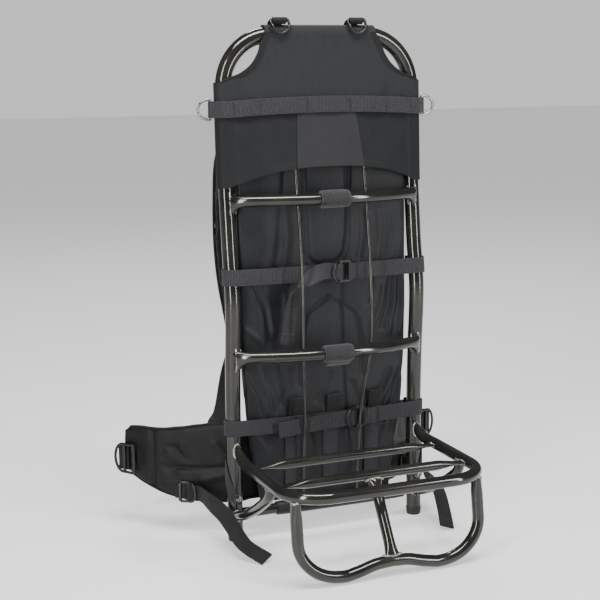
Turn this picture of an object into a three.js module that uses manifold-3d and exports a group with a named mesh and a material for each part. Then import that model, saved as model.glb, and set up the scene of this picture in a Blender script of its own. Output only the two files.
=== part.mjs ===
// External frame backpack: a welded tube frame with a fold-out load shelf, and the cloth it carries.
// Millimetres, +X to the right, +Y from the load towards the wearer, +Z up. The origin is on the
// ground, under the middle of the whole pack.
import * as THREE from 'three';
import { mergeVertices } from 'three/addons/utils/BufferGeometryUtils.js';
import Module from 'manifold-3d';

// Clearance left between pieces that touch
const GAP = 0.3;

// Main hoop: one bent tube, feet on the ground and a top bar
const HOOP_HEIGHT = 785;
const HOOP_HALF_WIDTH = 157.5;
const HOOP_TUBE = 24;
const HOOP_CORNER = 80;
const HOOP_SWAY = 10;
const FOOT_CAP_HEIGHT = 9;

// Crossbars, bowed towards the load, with ends flattened and flared onto the uprights
const CROSSBAR_TUBE = 17.5;
const CROSSBAR_FLARE = 35;
const CROSSBAR_FLAT = 9;
const UPPER_BAR_HEIGHT = 537;
const UPPER_BAR_BOW = 48;
const LOWER_BAR_HEIGHT = 298;
const LOWER_BAR_BOW = 56;
const BAR_END_DROP = 5;
const BOTTOM_BAR_HEIGHT = 43;
const BOTTOM_BAR_TUBE = 17;

// Stay rods, threaded through the crossbars
const ROD = 5;
const ROD_SPACING = 115;
const ROD_BOW = 44;

// Load shelf
const SHELF_HEIGHT = 140;
const SHELF_SLOPE = 6;
const SHELF_REACH = 248;
const SHELF_HALF_WIDTH = 159;
const SHELF_TUBE = 18;
const SHELF_CORNER = 62;
const SHELF_WELD_RISE = 8;
const REAR_SLAT_REACH = 77;
const FRONT_SLAT_REACH = 175;
const SLAT_TUBE = 15;
const SLAT_TIP = 3;

// Stand under the shelf
const STAND_HALF_WIDTH = 146.5;
const STAND_REACH = 239;
const STAND_TUBE = 18;
const STAND_NOTCH = 13.4;
const STAND_BEND_WIDTH = 74;
const STAND_BEND_HEIGHT = 58;
const STAND_LOBE = 101;
const STRUT_TUBE = 17;
const STRUT_FLARE = 29;
const BRACE_TUBE = 16;
const BRACE_FOOT = 42;
const BRACE_REACH = 158;

// Bolts that hold the webbing on the uprights
const BOLT_HEIGHT = 72;
const BOLT_HEAD = 9;
const BOLT_LENGTH = 5;

// Panel of coated cloth stretched over the top of the hoop
const PANEL_WALL = 1.6;
const PANEL_HEM = 556;
const PANEL_SHOULDER = 714;
const PANEL_HEM_RISE = 29;
const PANEL_BULGE = 34;
const PANEL_NECK_HALF_WIDTH = 92;
const PANEL_FLAP = 42;
const PATCH_WALL = 1;
const PATCH_TOP_WIDTH = 97;
const PATCH_FOOT_WIDTH = 112;

// Webbing
const WEBBING = 25;
const WEBBING_WALL = 1.6;
const DAISY_HEIGHT = 674;
const DAISY_RISE = 5.5;
const RING_WIRE = 4;
const RING_HEIGHT = 34;
const RING_REACH = 24;
const LASH_SPACING = 128;
const LASH_OFFSET = -4;
const LASH_LOOP_RISE = 13;
const LASH_RING_WIDTH = 33;
const LASH_RING_DROP = 24;
const LASH_RING_WIRE = 4;
const LASH_WEBBING = 24;

// Hook-and-loop wraps round the crossbars
const WRAP_LENGTH = 47;
const WRAP_WALL = 4;
const WRAP_OFFSET = -3;

// Back pad
const PAD_TOP = 640;
const PAD_FOOT = 51;
const PAD_HALF_WIDTH = 145;
const PAD_THICKNESS = 26;
const PAD_SET_BACK = 7;
const PAD_SLEEVE_LEFT = -88;
const PAD_SLEEVE_RIGHT = 136;
const PAD_SLEEVE_WALL = 2;
const TAB_HEIGHT = 222;
const TAB_LENGTH = 30;
const TAB_WIDTH = 24;
const LADDER_TOP = 170;
const LADDER_FOOT = 70;

// Cross straps with their buckles
const UPPER_STRAP_HEIGHT = 421;
const LOWER_STRAP_HEIGHT = 184;
const STRAP_END = 11;
const BUCKLE_LENGTH = 36;
const BUCKLE_RIM = 2.6;
const BUCKLE_WALL = 3;
const UPPER_BUCKLE_X = 18;
const LOWER_BUCKLE_X = 43;
const UPPER_TAIL_DROP = 106;
const LOWER_TAIL_LENGTH = 122;

// Hip belt
const BELT_HALF_WIDTH = 290;
const BELT_DEPTH = 158;
const BELT_RIGHT_HALF_WIDTH = 248;
const BELT_RIGHT_DEPTH = 178;
const BELT_THICKNESS = 14;
const BELT_HEIGHT = 138;
const BELT_FOOT = 50;
const BELT_WEBBING = 40;
const BELT_LOCK_HEIGHT = 113;
const BELT_LOCK_DROP = 12;
const BELT_LOCK_OVERHANG = 14;
const BELT_CLOSURE_DEPTH = 212;
const BELT_LOCK_LENGTH = 43;
const BELT_BUCKLE_LENGTH = 70;
const BELT_BUCKLE_HEIGHT = 50;
const BELT_BUCKLE_THICKNESS = 13;

// Shoulder straps
const SHOULDER_WIDTH = 62;
const SHOULDER_THICKNESS = 12;
const SHOULDER_TOP = 648;
const SHOULDER_FOOT = 322;
const SHOULDER_DEPTH = 118;

// Stabiliser straps between belt and frame, with hanging tails
const TAIL_REACH = 118;
const STABILISER_LOCK_HEIGHT = 68.4;
const STABILISER_PLACE = { left: -0.72, right: 0.66 };
const ANCHOR_WIDTH = 20;
const ANCHOR_RISE = 72;

// Fore and aft lean of an upright: share of the height, share of the sway
const HOOP_LEAN = [
  { up: 0, lean: 0 },
  { up: 0.24, lean: 0 },
  { up: 0.33, lean: -0.24 },
  { up: 0.385, lean: -0.5 },
  { up: 0.44, lean: -0.87 },
  { up: 0.49, lean: -1 },
  { up: 0.536, lean: -0.62 },
  { up: 0.58, lean: -0.08 },
  { up: 0.624, lean: 0.27 },
  { up: 0.665, lean: 0.6 },
  { up: 0.71, lean: 0.92 },
  { up: 0.77, lean: 1.07 },
  { up: 0.83, lean: 1.2 },
  { up: 0.91, lean: 1.4 },
  { up: 1, lean: 1.5 },
];

// Stay rod from the bottom bar to the panel hem: share of that run, share of the bow and of the spread
const ROD_LINE = [
  { up: 0, bow: 0.3, spread: 0.81 },
  { up: 0.12, bow: 0.42, spread: 0.82 },
  { up: 0.24, bow: 0.61, spread: 0.83 },
  { up: 0.31, bow: 0.71, spread: 0.86 },
  { up: 0.48, bow: 1.1, spread: 1 },
  { up: 0.7, bow: 1.14, spread: 1 },
  { up: 0.84, bow: 1.02, spread: 1 },
  { up: 0.93, bow: 0.91, spread: 1 },
  { up: 1, bow: 0.73, spread: 1 },
];

// Curve of the panel's side above its shoulder: share of the height, share of the width lost
const PANEL_NECK = [
  { up: 0, cut: 0 },
  { up: 0.07, cut: 0.12 },
  { up: 0.17, cut: 0.4 },
  { up: 0.35, cut: 0.65 },
  { up: 0.58, cut: 0.81 },
  { up: 0.82, cut: 0.9 },
  { up: 1, cut: 1 },
];

// Foot of the stand loop, from its middle to a lobe: share of the lobe's place, share of the notch
const STAND_FOOT = [
  { out: 0, up: 1 },
  { out: 0.26, up: 0.86 },
  { out: 0.52, up: 0.4 },
  { out: 0.8, up: 0.04 },
  { out: 1, up: 0 },
];

// Pad outline: share of the height, share of the half width, share of the thickness
const PAD_LINE = [
  { up: 0, wide: 0.8, thick: 0.35 },
  { up: 0.02, wide: 0.81, thick: 0.62 },
  { up: 0.07, wide: 0.83, thick: 0.85 },
  { up: 0.16, wide: 0.9, thick: 1 },
  { up: 0.25, wide: 0.94, thick: 1 },
  { up: 0.31, wide: 0.96, thick: 1 },
  { up: 0.38, wide: 0.985, thick: 1 },
  { up: 0.5, wide: 1, thick: 1 },
  { up: 0.65, wide: 1, thick: 1 },
  { up: 0.8, wide: 1, thick: 1 },
  { up: 0.93, wide: 0.99, thick: 0.95 },
  { up: 0.985, wide: 0.96, thick: 0.7 },
  { up: 1, wide: 0.93, thick: 0.3 },
];

// Hip belt from the middle outwards: shares of half width, depth and height
const BELT_LINE = [
  { out: 0, back: 0.147, foot: 0.1, top: 0.86, thick: 0.5 },
  { out: 0.3, back: 0.149, foot: 0.06, top: 0.9, thick: 0.55 },
  { out: 0.44, back: 0.168, foot: 0.02, top: 0.98, thick: 0.7 },
  { out: 0.54, back: 0.238, foot: 0, top: 0.98, thick: 0.85 },
  { out: 0.64, back: 0.35, foot: 0, top: 0.945, thick: 1 },
  { out: 0.74, back: 0.47, foot: 0.02, top: 0.91, thick: 1 },
  { out: 0.84, back: 0.62, foot: 0.09, top: 0.88, thick: 1 },
  { out: 0.92, back: 0.79, foot: 0.19, top: 0.87, thick: 1 },
  { out: 0.97, back: 0.93, foot: 0.28, top: 0.86, thick: 0.95 },
  { out: 1, back: 1, foot: 0.36, top: 0.8, thick: 0.55 },
];

// Shoulder strap from the pad over the shoulder and down: shares of half width, depth and height
const SHOULDER_LINE = [
  { out: 0.2, back: 0.3, up: 0.86, wide: 0.8 },
  { out: 0.24, back: 0.55, up: 1, wide: 0.9 },
  { out: 0.3, back: 0.85, up: 0.99, wide: 1 },
  { out: 0.36, back: 1, up: 0.85, wide: 1 },
  { out: 0.39, back: 0.95, up: 0.62, wide: 1 },
  { out: 0.41, back: 0.8, up: 0.34, wide: 0.98 },
  { out: 0.415, back: 0.68, up: 0.12, wide: 0.85 },
  { out: 0.42, back: 0.63, up: 0, wide: 0.55 },
];

// Free end of a stabiliser strap: shares of the reach, of the hoop's half width and of the lock's height
const TAIL_LINE = [
  { reach: -0.17, left: 1.225, right: 1.187, leftUp: 0.9, rightUp: 1.02 },
  { reach: 0.12, left: 1.155, right: 1.168, leftUp: 0.73, rightUp: 0.87 },
  { reach: 0.38, left: 1.13, right: 1.168, leftUp: 0.545, rightUp: 0.69 },
  { reach: 0.71, left: 1.096, right: 1.12, leftUp: 0.305, rightUp: 0.34 },
  { reach: 1, left: 0.955, right: 1.054, leftUp: 0.09, rightUp: 0.09 },
];
const RIGHT_TAIL_SHARE = 0.85;

const finishes = {
  tube: { color: 0x1b1b1a, roughness: 0.25, metalness: 0.85 },
  steel: { color: 0xb9bbbd, roughness: 0.25, metalness: 1 },
  plastic: { color: 0x0c0c0d, roughness: 0.45, metalness: 0 },
  panel: { color: 0x303236, roughness: 0.85, metalness: 0 },
  patch: { color: 0x46474b, roughness: 0.85, metalness: 0 },
  pad: { color: 0x2c2e32, roughness: 0.8, metalness: 0 },
  belt: { color: 0x222427, roughness: 0.85, metalness: 0 },
  webbing: { color: 0x46454a, roughness: 0.8, metalness: 0 },
};

const pack = new THREE.Group();
const wasm = await Module();
wasm.setup();

const vec = (x, y, z) => new THREE.Vector3(x, y, z);
const mix = (a, b, t) => a + (b - a) * t;
const X = vec(1, 0, 0);
const Y = vec(0, 1, 0);
const Z = vec(0, 0, 1);
const SIDES = [{ name: 'left', sign: -1 }, { name: 'right', sign: 1 }];

function add(name, geometry, finish) {
  const mesh = new THREE.Mesh(geometry, new THREE.MeshStandardMaterial(finishes[finish]));
  mesh.name = name;
  pack.add(mesh);
  return mesh;
}

// Smooth value of one column of a table at a place in another column
function along(table, key, value, place) {
  const last = table.length - 1;
  if (place <= table[0][key]) return table[0][value];
  if (place >= table[last][key]) return table[last][value];
  const i = table.findIndex((row) => row[key] > place) - 1;
  const slope = (k) => {
    const a = table[Math.max(k - 1, 0)];
    const b = table[Math.min(k + 1, last)];
    return (b[value] - a[value]) / (b[key] - a[key]);
  };
  const span = table[i + 1][key] - table[i][key];
  const t = (place - table[i][key]) / span;
  const rise = table[i + 1][value] - table[i][value];
  const bend = slope(i) * span * t * (1 - t) * (1 - t) - slope(i + 1) * span * t * t * (1 - t);
  return table[i][value] + rise * t * t * (3 - 2 * t) + bend;
}

// Closed body from points and triangles, its faces turned outwards
function body(points, faces) {
  let volume = 0;
  for (const [a, b, c] of faces) {
    volume += points[a].dot(points[b].clone().cross(points[c]));
  }
  const index = faces.flatMap(([a, b, c]) => (volume < 0 ? [a, c, b] : [a, b, c]));
  const geometry = new THREE.BufferGeometry();
  geometry.setAttribute('position', new THREE.Float32BufferAttribute(points.flatMap((p) => p.toArray()), 3));
  geometry.setIndex(index);
  geometry.computeVertexNormals();
  return geometry;
}

// Body through rings of points, capped at both ends, or closed on itself
function loft(rings, closed = false) {
  const n = rings[0].length;
  const points = rings.flat();
  const faces = [];
  const runs = closed ? rings.length : rings.length - 1;
  for (let i = 0; i < runs; i += 1) {
    const a = i * n;
    const b = ((i + 1) % rings.length) * n;
    for (let k = 0; k < n; k += 1) {
      const l = (k + 1) % n;
      faces.push([a + k, a + l, b + l], [a + k, b + l, b + k]);
    }
  }
  if (!closed) {
    const far = (rings.length - 1) * n;
    for (let k = 1; k < n - 1; k += 1) {
      faces.push([0, k + 1, k], [far, far + k, far + k + 1]);
    }
  }
  return body(points, faces);
}

// Rings of a section carried along a path: across is the direction of the section's first axis
function ringsAlong(path, across, section, closed = false) {
  const count = path.length;
  return path.map((point, i) => {
    const before = path[closed ? (i + count - 1) % count : Math.max(i - 1, 0)];
    const after = path[closed ? (i + 1) % count : Math.min(i + 1, count - 1)];
    const tangent = after.clone().sub(before).normalize();
    const share = i / (count - 1);
    const first = (typeof across === 'function' ? across(share) : across).clone();
    first.addScaledVector(tangent, -first.dot(tangent)).normalize();
    const second = tangent.clone().cross(first);
    return section(share).map(([a, b]) => point.clone().addScaledVector(first, a).addScaledVector(second, b));
  });
}
const sweep = (path, across, section, closed = false) => loft(ringsAlong(path, across, section, closed), closed);

const round = (radius, other = radius, sides = 10) => Array.from({ length: sides }, (_, k) => {
  const angle = (2 * Math.PI * (k + 0.5)) / sides;
  return [radius * Math.cos(angle), other * Math.sin(angle)];
});
const strip = (width, wall) => [
  [-width / 2, -wall / 2], [width / 2, -wall / 2], [width / 2, wall / 2], [-width / 2, wall / 2],
];

function smooth(points, steps, closed = false) {
  const line = new THREE.CatmullRomCurve3(points, closed, 'centripetal').getSpacedPoints(steps);
  if (closed) line.pop();
  return line;
}

// Arc in a level plane between two angles, in degrees
function levelArc(x, y, z, radius, from, to, steps) {
  return Array.from({ length: steps + 1 }, (_, i) => {
    const angle = THREE.MathUtils.degToRad(mix(from, to, i / steps));
    return vec(x + radius * Math.cos(angle), y + radius * Math.sin(angle), z);
  });
}

// Closed shell of cloth from a surface function of two shares
function sheet(surface, columns, rows, wall) {
  const step = 1e-3;
  const grid = [];
  const faces = [];
  for (const side of [-0.5, 0.5]) {
    for (let j = 0; j <= rows; j += 1) {
      for (let i = 0; i <= columns; i += 1) {
        const [s, t] = [i / columns, j / rows];
        const ds = surface(Math.min(s + step, 1), t).sub(surface(Math.max(s - step, 0), t));
        const dt = surface(s, Math.min(t + step, 1)).sub(surface(s, Math.max(t - step, 0)));
        grid.push(surface(s, t).addScaledVector(ds.cross(dt).normalize(), side * wall));
      }
    }
  }
  const at = (i, j, side) => (side * (rows + 1) + j) * (columns + 1) + i;
  const quad = (a, b, c, d) => faces.push([a, b, c], [a, c, d]);
  for (let j = 0; j < rows; j += 1) {
    for (let i = 0; i < columns; i += 1) {
      quad(at(i, j, 1), at(i + 1, j, 1), at(i + 1, j + 1, 1), at(i, j + 1, 1));
      quad(at(i, j, 0), at(i, j + 1, 0), at(i + 1, j + 1, 0), at(i + 1, j, 0));
    }
    quad(at(0, j, 0), at(0, j, 1), at(0, j + 1, 1), at(0, j + 1, 0));
    quad(at(columns, j, 0), at(columns, j + 1, 0), at(columns, j + 1, 1), at(columns, j, 1));
  }
  for (let i = 0; i < columns; i += 1) {
    quad(at(i, 0, 0), at(i + 1, 0, 0), at(i + 1, 0, 1), at(i, 0, 1));
    quad(at(i, rows, 0), at(i, rows, 1), at(i + 1, rows, 1), at(i + 1, rows, 0));
  }
  return body(grid, faces);
}

function toSolid(geometry) {
  const bare = new THREE.BufferGeometry();
  bare.setAttribute('position', geometry.attributes.position);
  if (geometry.index) bare.setIndex(geometry.index);
  const merged = mergeVertices(bare);
  return new wasm.Manifold(new wasm.Mesh({
    numProp: 3,
    vertProperties: new Float32Array(merged.attributes.position.array),
    triVerts: new Uint32Array(merged.index.array),
  }));
}

function toGeometry(solid) {
  const mesh = solid.getMesh();
  const geometry = new THREE.BufferGeometry();
  geometry.setAttribute('position', new THREE.BufferAttribute(new Float32Array(mesh.vertProperties), 3));
  geometry.setIndex(new THREE.BufferAttribute(new Uint32Array(mesh.triVerts), 1));
  geometry.computeVertexNormals();
  return geometry;
}

const join = (...parts) => toGeometry(parts.map(toSolid).reduce((a, b) => a.add(b)));
const cut = (part, ...tools) => toGeometry(tools.map(toSolid).reduce((a, b) => a.subtract(b), toSolid(part)));

// Centre line of the hoop
const lean = (z) => HOOP_SWAY * along(HOOP_LEAN, 'up', 'lean', z / HOOP_HEIGHT);

function hoopLine() {
  const side = [];
  const straight = HOOP_HEIGHT - HOOP_CORNER;
  const risers = 20;
  for (let i = 0; i <= risers; i += 1) {
    const z = mix(FOOT_CAP_HEIGHT + GAP, straight, i / risers);
    side.push([HOOP_HALF_WIDTH, z]);
  }
  const bends = 8;
  for (let i = 1; i <= bends; i += 1) {
    const angle = (Math.PI / 2) * (i / bends);
    side.push([
      HOOP_HALF_WIDTH - HOOP_CORNER * (1 - Math.cos(angle)),
      straight + HOOP_CORNER * Math.sin(angle),
    ]);
  }
  const place = (sign) => ([x, z]) => vec(sign * x, lean(z), z);
  return [...side.map(place(-1)), ...side.map(place(1)).reverse()];
}

const hoop = (radius) => sweep(hoopLine(), Y, () => round(radius, radius, 10));
const hoopKeepOut = hoop(HOOP_TUBE / 2 + GAP);
add('main_frame_hoop', hoop(HOOP_TUBE / 2), 'tube');

for (const { name, sign } of SIDES) {
  const cap = new THREE.CylinderGeometry(HOOP_TUBE / 2, HOOP_TUBE / 2 - 1, FOOT_CAP_HEIGHT, 16);
  const mesh = add(`foot_cap_${name}`, cap, 'plastic');
  mesh.rotation.x = Math.PI / 2;
  mesh.position.set(sign * HOOP_HALF_WIDTH, 0, FOOT_CAP_HEIGHT / 2);
}

// Bowed crossbar with flared ends
const crossbarLine = (height, bow) => {
  const steps = 18;
  const end = HOOP_HALF_WIDTH - 1;
  const endDepth = lean(height) - HOOP_TUBE * 0.45;
  return Array.from({ length: steps + 1 }, (_, i) => {
    const s = Math.sin((Math.PI / 2) * (2 * (i / steps) - 1));
    const y = mix(-bow, endDepth, Math.abs(s) ** 2.6);
    return vec(s * end, y, height - BAR_END_DROP * Math.abs(s) ** 14);
  });
};
const crossbar = (line, radius, flare) => sweep(line, Z, (share) => {
  const s = Math.abs(Math.sin((Math.PI / 2) * (2 * share - 1)));
  const widen = flare * s ** 22;
  return round(mix(radius, CROSSBAR_FLARE / 2, widen), mix(radius, CROSSBAR_FLAT / 2, widen));
});
const bottomBar = (radius, from, to) => sweep(
  [vec(from, 0, BOTTOM_BAR_HEIGHT), vec(to, 0, BOTTOM_BAR_HEIGHT)], Z, () => round(radius, radius, 12),
);
const bottomEnd = HOOP_HALF_WIDTH - HOOP_TUBE / 4;
add('bottom_crossbar', cut(bottomBar(BOTTOM_BAR_TUBE / 2, -bottomEnd, bottomEnd), hoopKeepOut), 'tube');

// Front surface of the panel, at its mid wall, clear of the hoop that its folds go round
const SLEEVE_TURNS = 5;
const sleeveRadius = (HOOP_TUBE / 2 + GAP) / Math.cos(Math.PI / SLEEVE_TURNS / 2) + PANEL_WALL / 2;
const panelDrop = (z) => THREE.MathUtils.clamp((HOOP_HEIGHT - z) / (HOOP_HEIGHT - PANEL_HEM), 0, 1);
const panelDepth = (x, z) => {
  const share = Math.min(Math.abs(x) / HOOP_HALF_WIDTH, 1);
  const bulge = PANEL_BULGE * panelDrop(z) ** 1.4 * (1 - share ** 2.4);
  return lean(z) - sleeveRadius - bulge;
};
const hemHeight = (x) => {
  const share = Math.min(Math.abs(x) / HOOP_HALF_WIDTH, 1);
  return PANEL_HEM + PANEL_HEM_RISE * (1 - share ** 2.6);
};

// Stay rods: through the crossbars, and under the panel against its back
function rodLine(x) {
  const foot = BOTTOM_BAR_HEIGHT + BOTTOM_BAR_TUBE / 2 + GAP;
  const hem = hemHeight(x);
  const inset = PANEL_WALL / 2 + GAP + ROD / 2;
  const run = Array.from({ length: 15 }, (_, i) => {
    const up = i / 14;
    const y = mix(-ROD_BOW * along(ROD_LINE, 'up', 'bow', up), panelDepth(x, hem) + inset, up ** 6);
    return vec(x * along(ROD_LINE, 'up', 'spread', up), y, mix(foot, hem, up));
  });
  const under = Array.from({ length: 8 }, (_, i) => {
    const z = mix(hem, HOOP_HEIGHT - HOOP_TUBE / 4, (i + 1) / 8);
    return vec(x, panelDepth(x, z) + inset, z);
  });
  return [...run, ...under];
}
const rod = (sign, radius) => sweep(rodLine((sign * ROD_SPACING) / 2), X, () => round(radius, radius, 6));
const rodHoles = SIDES.map(({ sign }) => rod(sign, (ROD / 2 + GAP) / Math.cos(Math.PI / 6)));
for (const { name, sign } of SIDES) add(`stay_rod_${name}`, cut(rod(sign, ROD / 2), hoopKeepOut), 'tube');

// Upper and lower crossbars, drilled for the rods
const upperLine = crossbarLine(UPPER_BAR_HEIGHT, UPPER_BAR_BOW);
const lowerLine = crossbarLine(LOWER_BAR_HEIGHT, LOWER_BAR_BOW);
add('upper_crossbar', cut(crossbar(upperLine, CROSSBAR_TUBE / 2, 1), hoopKeepOut, ...rodHoles), 'tube');
add('lower_crossbar', cut(crossbar(lowerLine, CROSSBAR_TUBE / 2, 1), hoopKeepOut, ...rodHoles), 'tube');

// Shelf: rails from the uprights forward, falling a little, and one front tube round the corners
const railRear = lean(SHELF_HEIGHT) - HOOP_TUBE * 0.36;
const railRoot = HOOP_HALF_WIDTH - 1;
const shelfTop = (y) => SHELF_HEIGHT - SHELF_SLOPE * THREE.MathUtils.clamp(-y / SHELF_REACH, 0, 1);
function shelfLine() {
  const bends = 7;
  const rail = [
    { back: 0, rise: 1, spread: 0 },
    { back: 0.4, rise: 0.8, spread: 0 },
    { back: 1, rise: 0.3, spread: 0.2 },
    { back: 1.6, rise: 0.05, spread: 0.6 },
    { back: 2.4, rise: 0, spread: 1 },
  ].map(({ back, rise, spread }) => {
    const y = railRear - HOOP_TUBE * back;
    return vec(mix(railRoot, SHELF_HALF_WIDTH, spread), y, shelfTop(y) + SHELF_WELD_RISE * rise);
  });
  for (let i = 0; i <= bends; i += 1) {
    const angle = (Math.PI / 2) * (i / bends);
    const y = -SHELF_REACH + SHELF_CORNER * (1 - Math.sin(angle));
    rail.push(vec(SHELF_HALF_WIDTH - SHELF_CORNER * (1 - Math.cos(angle)), y, shelfTop(y)));
  }
  const mirrored = rail.map((p) => vec(-p.x, p.y, p.z)).reverse();
  return [...rail, ...mirrored];
}
const shelf = (radius) => sweep(shelfLine(), Z, (share) => {
  const end = Math.min(share, 1 - share) * 2;
  const pinch = Math.max(0, 1 - end / 0.2) ** 1.5;
  return round(mix(radius, radius * 1.25, pinch), mix(radius, radius * 0.45, pinch));
});
const shelfKeepOut = shelf(SHELF_TUBE / 2 + GAP);
add('shelf_hoop', cut(shelf(SHELF_TUBE / 2), hoopKeepOut), 'tube');

// Slats: tubes pinched flat at both ends, welded between the rails
const slat = (reach, extra) => {
  const half = SHELF_HALF_WIDTH - SHELF_TUBE / 4;
  const stations = [-1, -0.97, -0.92, -0.84, -0.74, -0.6, 0, 0.6, 0.74, 0.84, 0.92, 0.97, 1];
  const line = stations.map((s) => vec(s * half, -reach, shelfTop(-reach)));
  return sweep(line, Z, (share) => {
    const s = Math.abs(stations[Math.round(share * (stations.length - 1))]);
    const pinch = THREE.MathUtils.smoothstep(s, 0.66, 0.97);
    const radius = SLAT_TUBE / 2 + extra;
    return round(mix(radius, SLAT_TIP / 2 + extra, pinch), mix(radius, radius * 1.2, pinch));
  });
};
add('shelf_slat_rear', cut(slat(REAR_SLAT_REACH, 0), shelfKeepOut), 'tube');
add('shelf_slat_front', cut(slat(FRONT_SLAT_REACH, 0), shelfKeepOut), 'tube');

// Stand loop under the front corners of the shelf, its foot raised in the middle
const cornerIn = STAND_HALF_WIDTH - SHELF_HALF_WIDTH + SHELF_CORNER;
const standHead = -SHELF_REACH + SHELF_CORNER - Math.sqrt(Math.max(SHELF_CORNER ** 2 - cornerIn ** 2, 0));
const STAND_TOP = shelfTop(standHead) - SHELF_TUBE / 4;
function standLine() {
  const ground = STAND_TUBE / 2;
  const depth = (z) => mix(-STAND_REACH, standHead, THREE.MathUtils.clamp((z - ground) / (STAND_TOP - ground), 0, 1));
  const lobe = Math.min(STAND_LOBE, STAND_HALF_WIDTH - STAND_BEND_WIDTH / 3);
  const start = STAND_HALF_WIDTH - STAND_BEND_WIDTH;
  const half = [];
  for (let i = 0; i <= 7; i += 1) {
    const x = (start * i) / 7;
    half.push([x, ground + STAND_NOTCH * along(STAND_FOOT, 'out', 'up', x / lobe)]);
  }
  const level = half.at(-1)[1];
  for (let i = 1; i <= 8; i += 1) {
    const angle = (Math.PI / 2) * (i / 8);
    const settle = mix(level, ground, Math.min(i / 3, 1));
    half.push([start + STAND_BEND_WIDTH * Math.sin(angle), settle + STAND_BEND_HEIGHT * (1 - Math.cos(angle))]);
  }
  for (let i = 1; i <= 4; i += 1) half.push([STAND_HALF_WIDTH, mix(ground + STAND_BEND_HEIGHT, STAND_TOP, i / 4)]);
  const right = half.map(([x, z]) => vec(x, depth(z), Math.max(z, ground)));
  const left = right.slice(1).reverse().map((p) => vec(-p.x, p.y, p.z));
  return [...left, ...right];
}
const stand = (extra) => sweep(standLine(), Y, (share) => {
  const pinch = Math.max(0, 1 - (Math.min(share, 1 - share) * 2) / 0.1) ** 1.3;
  const radius = STAND_TUBE / 2 + extra;
  return round(mix(radius, radius * 1.2, pinch), mix(radius, radius * 0.62, pinch), 10);
});
add('stand_loop', cut(stand(0), shelfKeepOut), 'tube');

const strutTop = vec(0, -FRONT_SLAT_REACH, shelfTop(-FRONT_SLAT_REACH) - SLAT_TUBE / 4);
const strutFoot = vec(0, -STAND_REACH, STAND_TUBE / 2 + STAND_NOTCH + STAND_TUBE / 4);
const strutLine = smooth([strutTop, strutTop.clone().lerp(strutFoot, 0.5), strutFoot], 12);
const strut = sweep(strutLine, X, (share) => {
  const flat = Math.abs(2 * share - 1) ** 7;
  return round(mix(STRUT_TUBE, STRUT_FLARE, flat) / 2, mix(STRUT_TUBE, STRUT_TUBE * 0.45, flat) / 2);
});
add('stand_strut', cut(strut, slat(FRONT_SLAT_REACH, GAP), stand(GAP)), 'tube');

for (const { name, sign } of SIDES) {
  const head = shelfTop(-BRACE_REACH) - SHELF_TUBE / 4;
  const line = smooth([
    { out: 1, up: 1 },
    { out: 0.95, up: 0.82 },
    { out: 0.78, up: 0.6 },
    { out: 0.53, up: 0.35 },
    { out: 0.28, up: 0.14 },
    { out: HOOP_TUBE / 4 / BRACE_REACH, up: 0 },
  ].map(({ out, up }) => vec(sign * mix(HOOP_HALF_WIDTH, SHELF_HALF_WIDTH - 2, out), -BRACE_REACH * out, mix(BRACE_FOOT, head, up))), 11);
  const brace = sweep(line, X, () => round(BRACE_TUBE / 2, BRACE_TUBE / 2, 8));
  add(`shelf_brace_${name}`, cut(brace, hoopKeepOut, shelfKeepOut), 'tube');
}

// Bolts through the front of the uprights, holding the belt's webbing
const boltFace = lean(BOLT_HEIGHT) - HOOP_TUBE / 2 - WEBBING_WALL - GAP * 4;
for (const { name, sign } of SIDES) {
  const head = new THREE.CylinderGeometry(BOLT_HEAD / 2, BOLT_HEAD / 2, BOLT_LENGTH, 10);
  const mesh = add(`strap_bolt_${name}`, head, 'steel');
  mesh.position.set(sign * HOOP_HALF_WIDTH, boltFace - BOLT_LENGTH / 2, BOLT_HEIGHT);
}

// Panel of cloth: a front, a sleeve round each upright with a flap behind, and a neck over the top bar
const NECK_OVERLAP = 6;
function panelFront() {
  const turns = SLEEVE_TURNS;
  const across = 10;
  const stations = [];
  for (let i = 0; i <= across; i += 1) {
    const s = mix(-1, 1, i / across);
    stations.push({ x: s * HOOP_HALF_WIDTH, angle: null });
  }
  const around = Array.from({ length: turns }, (_, i) => ({ angle: ((i + 1) / turns) * Math.PI }));
  const right = [...around.map(({ angle }) => ({ sign: 1, angle })), { sign: 1, flap: true }];
  const left = [...around.map(({ angle }) => ({ sign: -1, angle })), { sign: -1, flap: true }].reverse();
  const columns = [...left, ...stations, ...right];
  const surface = (s, t) => {
    const place = s * (columns.length - 1);
    const i = Math.min(Math.floor(place), columns.length - 2);
    const at = (column) => {
      if (column.sign === undefined) {
        const z = mix(hemHeight(column.x), PANEL_SHOULDER, t);
        return vec(column.x, panelDepth(column.x, z), z);
      }
      const z = mix(PANEL_HEM, PANEL_SHOULDER, t);
      if (column.flap) {
        return vec(column.sign * (HOOP_HALF_WIDTH - PANEL_FLAP), lean(z) + sleeveRadius, z);
      }
      const x = HOOP_HALF_WIDTH + sleeveRadius * Math.sin(column.angle);
      return vec(column.sign * x, lean(z) - sleeveRadius * Math.cos(column.angle), z);
    };
    return at(columns[i]).lerp(at(columns[i + 1]), place - i);
  };
  return sheet(surface, columns.length - 1, 5, PANEL_WALL);
}
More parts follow.
